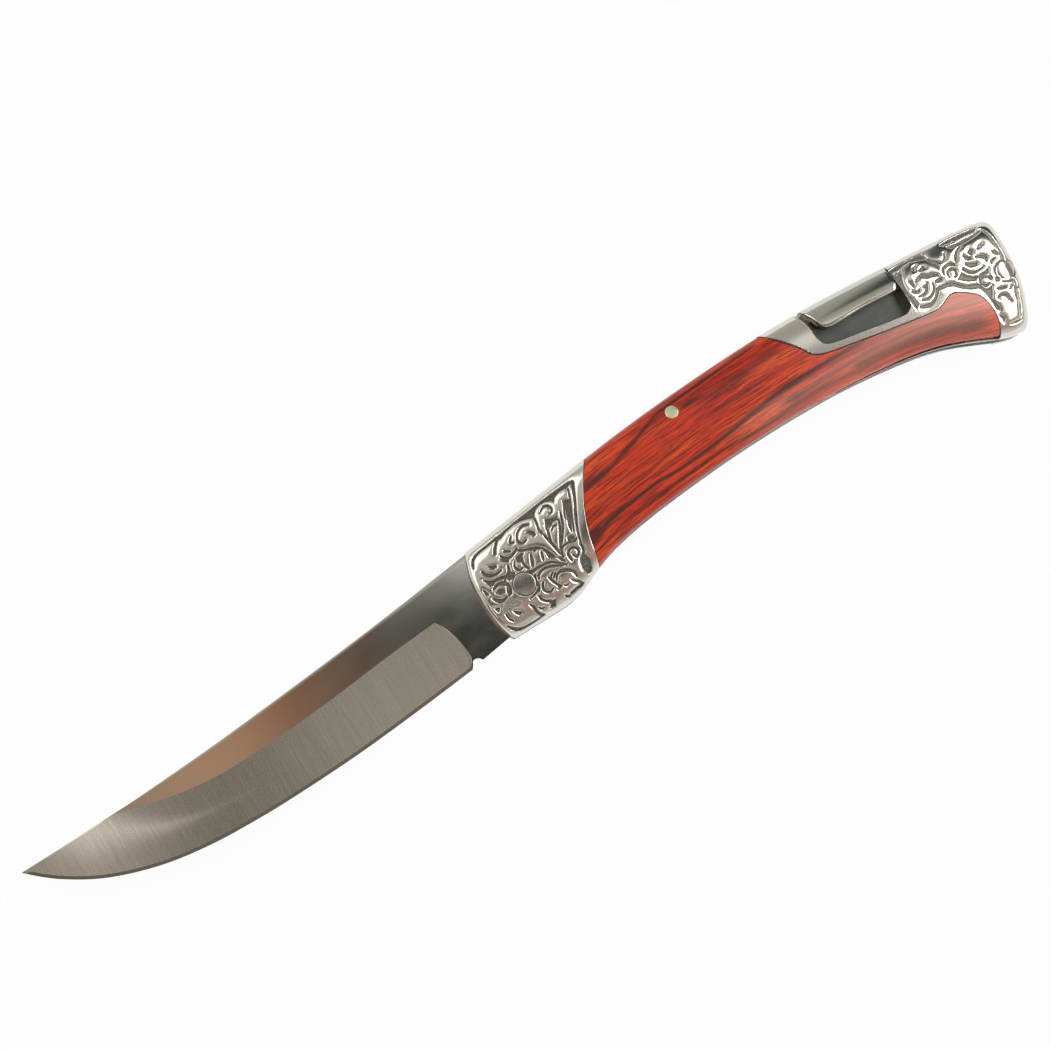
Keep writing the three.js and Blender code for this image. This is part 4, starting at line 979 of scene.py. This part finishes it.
# Blade
blade = {
    "spine": [(-113.8, 2.9), (-100, 3.2), (-85, 3.8), (-70, 4.7), (-55, 6.0), (-40, 7.45),
              (-25, 9.1), (-8, 11.25), (1.5, 12.4)],
    "edge": [(-17.3, -9.0), (-30, -10.3), (-45, -11.55), (-60, -12.15), (-70, -12.15), (-80, -11.6),
             (-90, -9.95), (-100, -6.6), (-108, -2.0), (-113.8, 2.9)],
    "grind": [(-19, 2.9), (-31, 1.9), (-45, 0.4), (-58, -0.5), (-70, -0.8), (-79, 0.1), (-86, 1.7),
              (-92.5, 3.45)],
    "reach": 98.0,               # of the ground bevel
    "choil": (-15.9, -8.9, 1.4),
    "choilTurn": (20, 184, 40),  # from and to in degrees, and how many points
    "kick": ((-14.5, -8.4), (-6.2, -7.1)),
    "cut": -7.0,                 # the tang behind this place is the CAD's own
    "tangRise": 0.3,
    "half": 1.3, "tipHalf": 0.2, "shoulderHalf": 0.28, "edgeHalf": 0.05,      # half thicknesses
    "fineBevel": 0.7,
    "spineRow": 0.012, "spineDrop": 0.01,      # the spine's corner is just broken
    "plungeBow": [(0, 0), (.13, .78), (.28, 1.3), (.45, 1.6), (.64, 1.65), (.8, 1.5), (.92, .8), (1, 0)],
    "plungeRun": 0.35, "bowFades": 12.0, "tipRun": 1.7,
    # a painted highlight sweep towards the tip, with painted shade beside it: points of (x, y, width,
    # strength), and where the painted shade starts
    "highlightSweep": [(-104, 4.6, 4.2, .68), (-99, 3.2, 5.0, .95), (-95, 1.2, 4.0, .95), (-90, -1.6, 2.8, .85),
              (-84, -4.2, 1.8, .7), (-76, -5.9, 1.2, .4), (-66, -6.8, 1.0, 0)],
    "highlightSweepFades": 1.2, "tipShadeFrom": (-34, -88),
    "rows": (10, 34, 4),         # on the flat, the ground bevel and the honed edge
    "columns": (52, 14, 190),
    "sharp": 30,
}


def bladeSheet():
    # one side of the blade as a grid: columns from the tang to the tip, rows from spine to edge
    flatRows, grindRows, edgeRows = blade["rows"]
    half, shoulderHalf, reach = blade["half"], blade["shoulderHalf"], blade["reach"]
    spine, grind, edge = (splineThrough(blade[line]) for line in ("spine", "grind", "edge"))
    grindTip = grind[-1, 0]
    towardsTip = spine[spine[:, 0] < grindTip - blade["tipRun"]][::-1]
    near = np.linspace(0, blade["plungeRun"], blade["columns"][1]) / reach
    shares = np.concatenate([near, np.linspace(near[-1], 1, blade["columns"][2])[1:]])
    top, bottom = alongLine(np.vstack([grind, towardsTip]), shares), alongLine(edge, shares)
    width = np.maximum(np.hypot(*(bottom - top).T), 2 * blade["fineBevel"])[:, None]
    shoulder = 1 - blade["fineBevel"] / width
    t = np.concatenate([shoulder * np.linspace(0, 1, grindRows + 1),
                        shoulder + (1 - shoulder) * np.linspace(0, 1, edgeRows + 1)[1:]], axis=1)
    beyond = blade["spine"][0][0] - blade["tipRun"]
    thinning = np.clip((top[:, :1] - beyond) / (grindTip - beyond), 0, 1)
    start = blade["tipHalf"] + (half - blade["tipHalf"]) * thinning
    flank = start + (shoulderHalf - start) * t / shoulder
    honed = shoulderHalf + (blade["edgeHalf"] - shoulderHalf) * (t - shoulder) / (1 - shoulder)
    full = np.where(t > shoulder + 1e-9, honed, flank)
    run = np.clip(shares * reach / blade["plungeRun"], 0, 1)[:, None]
    z = half + (1 - (1 - run) ** 2) * (full - half)
    z[-1] = blade["edgeHalf"]
    bowLine = splineThrough(blade["plungeBow"])
    bowFades = 1 - smoothStep(shares * reach, 0, blade["bowFades"])[:, None]
    flatPlace = top[:, None] + (bottom - top)[:, None] * t[..., None]
    flatPlace[..., 0] += np.interp(t, bowLine[:, 0], bowLine[:, 1]) * bowFades
    bevel = np.dstack([flatPlace, z])
    # the unground part behind the plunge, down to the choil and the kick
    cx, cy, radius = blade["choil"]
    turn = np.radians(np.linspace(*blade["choilTurn"]))
    arc = np.stack([cx + radius * np.cos(turn), cy + radius * np.sin(turn)], axis=-1)
    (kx, ky), (ex, ey) = blade["kick"]
    cutX = blade["cut"]
    kickAtCut = ky + (ey - ky) * (cutX - kx) / (ex - kx)
    heel = bevel[0]
    u = np.linspace(0, 1, blade["columns"][0])
    under = alongLine(np.vstack([[cutX, kickAtCut], arc[:-1], heel[-1, :2]]), u)
    over = alongLine(np.vstack([[cutX, heel[0, 1] + blade["tangRise"]], heel[0, :2]]), u)
    rise = np.hypot(*np.diff(heel[:, :2], axis=0).T)
    v = np.concatenate([[0], np.cumsum(rise)]) / rise.sum()
    rear = np.stack([np.full(len(v), cutX), over[0, 1] + (under[0, 1] - over[0, 1]) * v], axis=-1)
    plain = coonsPatch(over, under, rear, heel[:, :2], u, v)[:-1]
    ground = np.concatenate([np.dstack([plain, np.full(plain.shape[:2], half)]), bevel])
    # the flat over them
    seamX, seamY, seamZ = (ground[:, :1, axis] for axis in range(3))
    spineY = np.maximum(np.interp(seamX, spine[:, 0], spine[:, 1]), seamY)
    down = np.concatenate([[0], np.linspace(blade["spineRow"], 1, flatRows)])[:-1]
    level = np.ones(len(down))
    flat = np.stack([seamX * level, spineY + (seamY - spineY) * down, seamZ * level], axis=-1)
    flat[:, 0, 2] -= np.minimum(blade["spineDrop"], flat[:, 0, 2] / 2)
    flat[-1, :, 2] = blade["edgeHalf"]
    return np.concatenate([flat, ground], axis=1)


def tipShadeAt(x, y):
    # painted shade on the bevel: 0 where it is left bright, 1 where it is painted darkest
    away = np.full(x.shape, farAway)
    for cx, cy, width, strength in splineThrough(blade["highlightSweep"], 10):
        away = np.minimum(away, np.hypot(x - cx, y - cy) / width + blade["highlightSweepFades"] * (1 - strength))
    return smoothStep(x, *blade["tipShadeFrom"]) * (1 - np.exp(-away**2))


def bladeMesh():
    points = bladeSheet()
    columns, rows = points.shape[:2]
    grindRow = blade["rows"][0]
    honedRow = grindRow + blade["rows"][1]
    plunge = blade["columns"][0] - 1
    columnOf, rowOf = np.meshgrid(np.arange(columns), np.arange(rows), indexing="ij")
    # the bevel's painted tip shade is laid on as an attribute
    bm = gridMesh(points, {"row": rowOf, "column": columnOf, "tipShade": tipShadeAt(points[..., 0], points[..., 1])})
    row, column = bm.verts.layers.float["row"], bm.verts.layers.float["column"]
    for face in bm.faces:
        low = min(v[row] for v in face.verts)
        behind = max(v[column] for v in face.verts) <= plunge
        face.material_index = 0 if behind or low < grindRow else 1 if low < honedRow else 2
    for edge in bm.edges:
        a, b = edge.verts
        onRow = a[row] == b[row] and a[row] in (grindRow, honedRow) and max(a[column], b[column]) > plunge
        onPlunge = a[column] == b[column] == plunge and min(a[row], b[row]) >= grindRow
        if onRow or onPlunge or edge.is_boundary:
            edge.smooth = False
    for name in ("row", "column"):
        bm.verts.layers.float.remove(bm.verts.layers.float[name])
    bmesh.ops.remove_doubles(bm, verts=bm.verts, dist=mergeWithin)
    appendMesh(bm, otherSide(bm))
    bmesh.ops.bridge_loops(bm, edges=openEdges(bm))
    tang = cadCopy("blade")
    made = cutAcross(tang, blade["cut"], -1, keepAll=False)
    bmesh.ops.edgeloop_fill(tang, edges=[part for part in made if isinstance(part, bmesh.types.BMEdge)])
    smoothBelow(tang, blade["sharp"])
    appendMesh(bm, tang, 0)
    return bm


addPiece("bladeBody", bladeMesh(), [bladeFlatSteel, bladeBevelSteel, bladeEdgeSteel], "blade", "blade")
print("blade made")

# Lock button
button = {
    "hem": [(75.6, 18.7), (75.9, 18.2), (77.0, 15.9), (77.9, 13.6), (79.6, 12.4), (87.2, 12.3),
            (94.65, 11.8), (95.3, 12.6)],
    "end": 95.3, "middle": 80, "columns": (44, 56),
    "endColumns": (0.3, 0.12, 0.04, 0), "endBlunt": (0.015, 0.06, 0.16),      # mm before the end
    "firstRows": (0, 0.012, 0.035), "rows": (0.08, 0.93, 30), "lastRows": (0.955, 0.975, 0.988, 0.996, 1),
    "blunt": (0.14, 0.063, 0.014),      # how far the first rows lie below the crown
    "lip": (0.17, 0.85),         # drop and width of the rounding along the lower edge
    "leastHeight": 0.001, "dipFrom": 0.8,
    "skirtInner": 3.6, "capDepth": 2.7, "roof": 0.6, "slotHalf": 1.5,
    "sharp": 35,
}


def buttonMesh():
    hem = np.vstack([splineThrough(button["hem"][:-1], 20), button["hem"][-1:]])
    start = hem[np.argmax(hem[:, 1] < backAt(hem[:, 0])), 0]
    before, middle = button["endColumns"], button["middle"]
    xs = np.concatenate([np.linspace(start, middle, button["columns"][0])[:-1],
                         np.linspace(middle, button["end"] - before[0], button["columns"][1])[:-1],
                         button["end"] - np.array(before)])
    rise = [*button["firstRows"], *np.linspace(*button["rows"]), *button["lastRows"]]
    blunt = [*button["blunt"], *[0] * len(rise)]
    dips = [*[0] * (len(xs) - len(button["endBlunt"])), *button["endBlunt"]]
    inside, slot = button["skirtInner"], button["slotHalf"]
    loops = []
    for x, dip in zip(xs, dips):
        high = float(backAt(x))
        low = min(float(np.interp(x, hem[:, 0], hem[:, 1])), high - button["leastHeight"])
        outer = [(low, inside)]
        for share, drop in zip(rise, blunt):
            y = low + (high - low) * share
            lip = max(0, 1 - (y - low) / button["lip"][1]) ** 2 * button["lip"][0]
            level = float(crownHeight(x, y)) - drop - dip - lip
            outer.append((y - dip * smoothStep(share, button["dipFrom"], 1), level))
        cap, roof = max(low, high - button["capDepth"]), max(low, high - button["roof"])
        side = [(roof, slot), (cap, slot), (cap, inside)] + outer
        ring = side + [(y, -z) for y, z in side[::-1]]
        loops.append([(x, y, z) for y, z in ring + ring[:1]])
    bm = gridMesh(np.array(loops), closed=True)
    bmesh.ops.holes_fill(bm, edges=openEdges(bm), sides=0)
    smoothBelow(bm, button["sharp"])
    return bm


addPiece("buttonCap", buttonMesh(), [buttonSteel], "lock_bar", "lock_button")
print("lock button made")

# Pins, turned round and dressed down to the handle's crown; a ring is a share of the head's radius
# and its drop in mm
pinHead = {"rings": [(0, 0), (0.25, 0), (0.5, 0), (0.7, 0), (0.85, 0), (0.95, 0.015), (0.985, 0.04),
                     (1, 0.09)],
           "sides": 64, "below": 0.01, "sharp": 50}


def pinMesh(name):
    pin = pins[name]
    (cx, cy), radius = pin["at"], pin["radius"]
    head = pin.get("head", radius)
    loops = []
    for angle in np.linspace(0, 2 * math.pi, pinHead["sides"] + 1):
        away = lambda reach: (cx + reach * math.cos(angle), cy + reach * math.sin(angle))
        column = []
        for share, drop in pinHead["rings"]:
            x, y = away(head * share)
            level = float(crownHeight(x, y)) - pinHead["below"]
            column.append((x, y, level - pin["dome"] * share**2 - drop))
        if head > radius:
            column += [(*away(reach), pin["headFrom"]) for reach in (head, radius)]
        loops.append(column + [(x, y, -z) for x, y, z in column[::-1]])
    bm = gridMesh(np.array(loops), closed=True)
    smoothBelow(bm, pinHead["sharp"])
    return bm


for name, metal, node in (("pivotPin", steelPin, "pivot_pin"), ("lockBarPin", nickelSilver, "lock_bar_pin"),
                          ("buttPin", steelPin, "butt_pin")):
    addPiece(name + "Body", pinMesh(name), [metal], "handle", node)
print("pins made")

# Lock spring: the CAD's own leaf, cut across in short stretches so that it bends smoothly
leaf = {"from": 84.0, "fixedFrom": 96.0, "tip": 85.5, "step": 0.75, "level": 8, "sharp": 30}
bm = cadCopy("lock_spring")
for x in np.arange(leaf["from"], leaf["fixedFrom"], leaf["step"]):
    cutAcross(bm, x, 1)
smoothBelow(bm, leaf["sharp"])
leafSpring = addPiece("leafSpring", bm, [springSteel], None, "lock_spring")
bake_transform(leafSpring, "handle", "lock_bar", start=tuple(place(leaf["fixedFrom"], leaf["level"], 0)),
         end=tuple(place(leaf["tip"], leaf["level"], 0)))
print("lock spring made")

# The CAD pieces that stay
finishes = (
    (linerSteel, ("liner_left", "liner_right")), (barSteel, ("lock_bar", "back_spacer")),
    (steelPin, ("spring_pin", "button_rivet", "front_rivet_left", "front_rivet_right",
                "rear_rivet_left", "rear_rivet_right")),
    (washerBronze, ("pivot_washer_left", "pivot_washer_right")),
)
for material, names in finishes:
    for name in names:
        for slot in frame["nodes"][name].material_slots:
            slot.material = material
print("CAD pieces finished:", sum(len(names) for _, names in finishes))

# Floor, light and camera
studio = {
    "floorSize": 4.0, "floorWhite": "#f4f4f4",
    "floorLevel": -0.0003,       # just under the knife
    "shadowLeft": 0.05,          # share of the floor's own light and shadow that the camera still sees
    "roomLight": 0.6, "roomGrey": "#dcdcda",
    "lamps": [
        # place in plan mm, aim in plan mm, size in m, power in W, colour, turn in degrees
        ((325, -37, 400), (325, -37, 0), (0.20, 0.425), 1.45, "#ffffff", -6),
        ((-220, 300, 380), (-20, 0, 0), (0.55, 0.30), 0.7, "#fbfbff", 0),
        ((-196, -56, 400), (-90, -2, 0), (0.10, 0.10), 0.042, "#fffaf2", 0),
    ],
    # the painted card hung over the bench, which is what polished steel shows (places in m)
    "cardHeight": 1.0, "cardSize": 9.0, "cardLight": 1.0,
    "cardAlong": [(-0.60, "#a8a69e"), (-0.40, "#97897b"), (-0.20, "#a58f7d"), (-0.168, "#b49578"),
                  (-0.147, "#b9977c"), (-0.116, "#ab846b"), (-0.086, "#86654f"), (-0.057, "#725d4e"),
                  (-0.036, "#5d524a"), (-0.01, "#6a6a66")],
    "cardAcross": [(-1.8, "#d9d7d0"), (-1.0, "#a9a79e"), (-0.72, "#a29a8d"), (-0.45, "#80766b"),
                   (-0.25, "#73655c"), (-0.10, "#5e5953"), (0.02, "#272a29"), (0.058, "#393c3b"),
                   (0.080, "#8c8e8b"), (0.14, "#b9b7af"), (0.36, "#c4c2b9"), (0.50, "#b9b7ae"),
                   (1.05, "#aeada3"), (1.8, "#b9b7ae")],
    # patches over it: colour, strength, and steps of (direction, place of nothing, place of all)
    "cardPatches": [
        # warm browns to the left of the middle, as the blade shows them
        ("along", 1, ("x", 0.01, -0.03), ("fromMiddle", 0.13, 0.06)),
        # under them a paler stretch that the ground bevel picks up close to the bolster
        ("#efede5", 1, ("x", -0.13, 0.01), ("x", 0.05, 0.02), ("y", -0.06, -0.11), ("y", -0.6, -0.35)),
        # a pinkish stretch to the right of the middle, towards the viewer
        ("#ad9186", 1, ("x", 0.04, 0.07), ("y", -0.12, -0.28), ("y", -1.1, -0.8)),
        ("#a29690", 0.7, ("x", 0.18, 0.26), ("y", 0.10, 0.06), ("y", -0.2, -0.1)),
        # the far right is a little darker
        ("#a6a396", 1, ("x", 0.30, 0.36), ("y", 0.26, 0.34), ("y", 0.56, 0.50)),
        # a pale stretch that the arm beside the button's window shows
        ("#f4f3ec", 1, ("x", 0.22, 0.27), ("x", 0.36, 0.33), ("y", 0.10, 0.20), ("y", 0.46, 0.34)),
        # a dark slanting band for the button, and a small glint
        ("#383f44", 1, ("y", 0.53, 0.61), ("slant", -0.34, -0.41)),
        ("#f6f7f5", 1, ("x", 0.02, 0.045), ("x", 0.10, 0.06), ("y", 0.055, 0.08), ("y", 0.13, 0.10)),
    ],
    "cardMiddle": 0.06, "cardSlant": -2.7,
}
view = {"lean": (-0.07929, -0.07), "turn": 0.54736, "lookAt": (6.714, 10.365), "distance": 500.0,
        "pixelsAcross": 1050, "pixelsPerMm": 4.98523, "sensor": 36, "nearest": 0.01}


def whiteToCamera(tree, share=1.0):
    # 1 for rays from the camera and for mirror and glass rays, else 0
    path = addNode(tree, "LightPath").outputs
    seen = path["Is Camera Ray"]
    for ray in ("Is Glossy Ray", "Is Transmission Ray"):
        seen = addNode(tree, "Math", links={0: seen, 1: path[ray]}, operation="MAXIMUM").outputs[0]
    return addNode(tree, "Math", {1: share}, {0: seen}, operation="MULTIPLY").outputs[0]


def stagePlane(name, size, level, material, facingDown=False):
    bm = bmesh.new()
    bmesh.ops.create_grid(bm, x_segments=1, y_segments=1, size=size / 2)
    if facingDown:
        bmesh.ops.reverse_faces(bm, faces=bm.faces)
    bmesh.ops.translate(bm, vec=(0, 0, level), verts=bm.verts)
    plane = meshObject(name, bm, [material])
    return plane


floorMaterial, tree, shader = newMaterial("paleFloor")
shader.inputs["Base Color"].default_value = fromHex(studio["floorWhite"])
shader.inputs["Roughness"].default_value = 0.9
shader.inputs["Specular IOR Level"].default_value = 0.0
glow = addNode(tree, "Emission", {"Color": (1, 1, 1, 1), "Strength": 1.0})
mix = addNode(tree, "MixShader", links={0: whiteToCamera(tree, 1 - studio["shadowLeft"]),
                                        1: shader.outputs[0], 2: glow.outputs[0]})
tree.links.new(mix.outputs[0], firstNode(tree, "OUTPUT_MATERIAL").inputs[0])
stagePlane("floor", studio["floorSize"], studio["floorLevel"], floorMaterial)

scene.world = bpy.data.worlds.new("studioRoom")
scene.world.use_nodes = True
tree = scene.world.node_tree
background = firstNode(tree, "BACKGROUND")
background.inputs["Color"].default_value = fromHex(studio["roomGrey"])
background.inputs["Strength"].default_value = studio["roomLight"]
white = addNode(tree, "Background", {"Color": (1, 1, 1, 1), "Strength": 1.0})
mix = addNode(tree, "MixShader", links={0: whiteToCamera(tree), 1: background.outputs[0],
                                        2: white.outputs[0]})
tree.links.new(mix.outputs[0], firstNode(tree, "OUTPUT_WORLD").inputs[0])

cardMaterial, tree, shader = newMaterial("paintedCard")
tree.nodes.remove(shader)
onCard = addNode(tree, "TexCoord").outputs["Object"]
x, y = addNode(tree, "SeparateXYZ", links={0: onCard}).outputs[:2]
above = addNode(tree, "Math", {1: studio["cardMiddle"]}, {0: y}, operation="SUBTRACT")
fromMiddle = addNode(tree, "Math", links={0: above.outputs[0]}, operation="ABSOLUTE")
slant = addNode(tree, "Math", {1: studio["cardSlant"]}, {0: x, 2: y}, operation="MULTIPLY_ADD")
directions = {"x": x, "y": y, "fromMiddle": fromMiddle.outputs[0], "slant": slant.outputs[0]}
painted, along = (coloursAlong(tree, value, stops, stops[0][0], stops[-1][0])
                  for value, stops in ((y, studio["cardAcross"]), (x, studio["cardAlong"])))
for colour, strength, *steps in studio["cardPatches"]:
    share = None
    for direction, nothing, everything in steps:
        step = addNode(tree, "MapRange", {"From Min": nothing, "From Max": everything},
                       {"Value": directions[direction]}).outputs[0]
        share = step if share is None else \
            addNode(tree, "Math", links={0: share, 1: step}, operation="MULTIPLY").outputs[0]
    painted = layer(tree, painted, along if colour == "along" else colour, share, most=strength)
glow = addNode(tree, "Emission", {"Strength": studio["cardLight"]}, {"Color": painted})
tree.links.new(glow.outputs[0], firstNode(tree, "OUTPUT_MATERIAL").inputs[0])
card = stagePlane("overheadCard", studio["cardSize"], studio["cardHeight"], cardMaterial, facingDown=True)
card.visible_camera = False

for number, (where, aim, size, power, colour, turn) in enumerate(studio["lamps"]):
    lamp = bpy.data.lights.new(f"softbox{number + 1}", "AREA")
    lamp.shape = "RECTANGLE"
    lamp.size, lamp.size_y = size
    lamp.energy = power
    lamp.color = fromHex(colour)[:3]
    holder = bpy.data.objects.new(lamp.name, lamp)
    scene.collection.objects.link(holder)
    holder.location = place(*where)
    facing = (place(*aim) - place(*where)).to_track_quat("-Z", "Y")
    holder.rotation_euler = (Quaternion((0, 0, 1), math.radians(turn)) @ facing).to_euler()

leanX, leanY = view["lean"]
away = Vector((math.sin(leanX), math.sin(leanY), 0))
away.z = math.sqrt(1 - away.length_squared)
up = Vector((math.sin(view["turn"]), math.cos(view["turn"]), 0))
sideways = up.cross(away).normalized()
upright = away.cross(sideways)
camera = bpy.data.objects.new("camera", bpy.data.cameras.new("camera"))
scene.collection.objects.link(camera)
spot = place(*view["lookAt"], 0) + away * view["distance"] / 1000
camera.matrix_world = Matrix.Translation(spot) @ Matrix((sideways, upright, away)).transposed().to_4x4()
camera.data.sensor_fit = "HORIZONTAL"
camera.data.sensor_width = view["sensor"]
camera.data.lens = view["sensor"] * view["distance"] * view["pixelsPerMm"] / view["pixelsAcross"]
camera.data.clip_start = view["nearest"]
scene.camera = camera
scene.view_settings.view_transform = "Standard"
print("studio made")
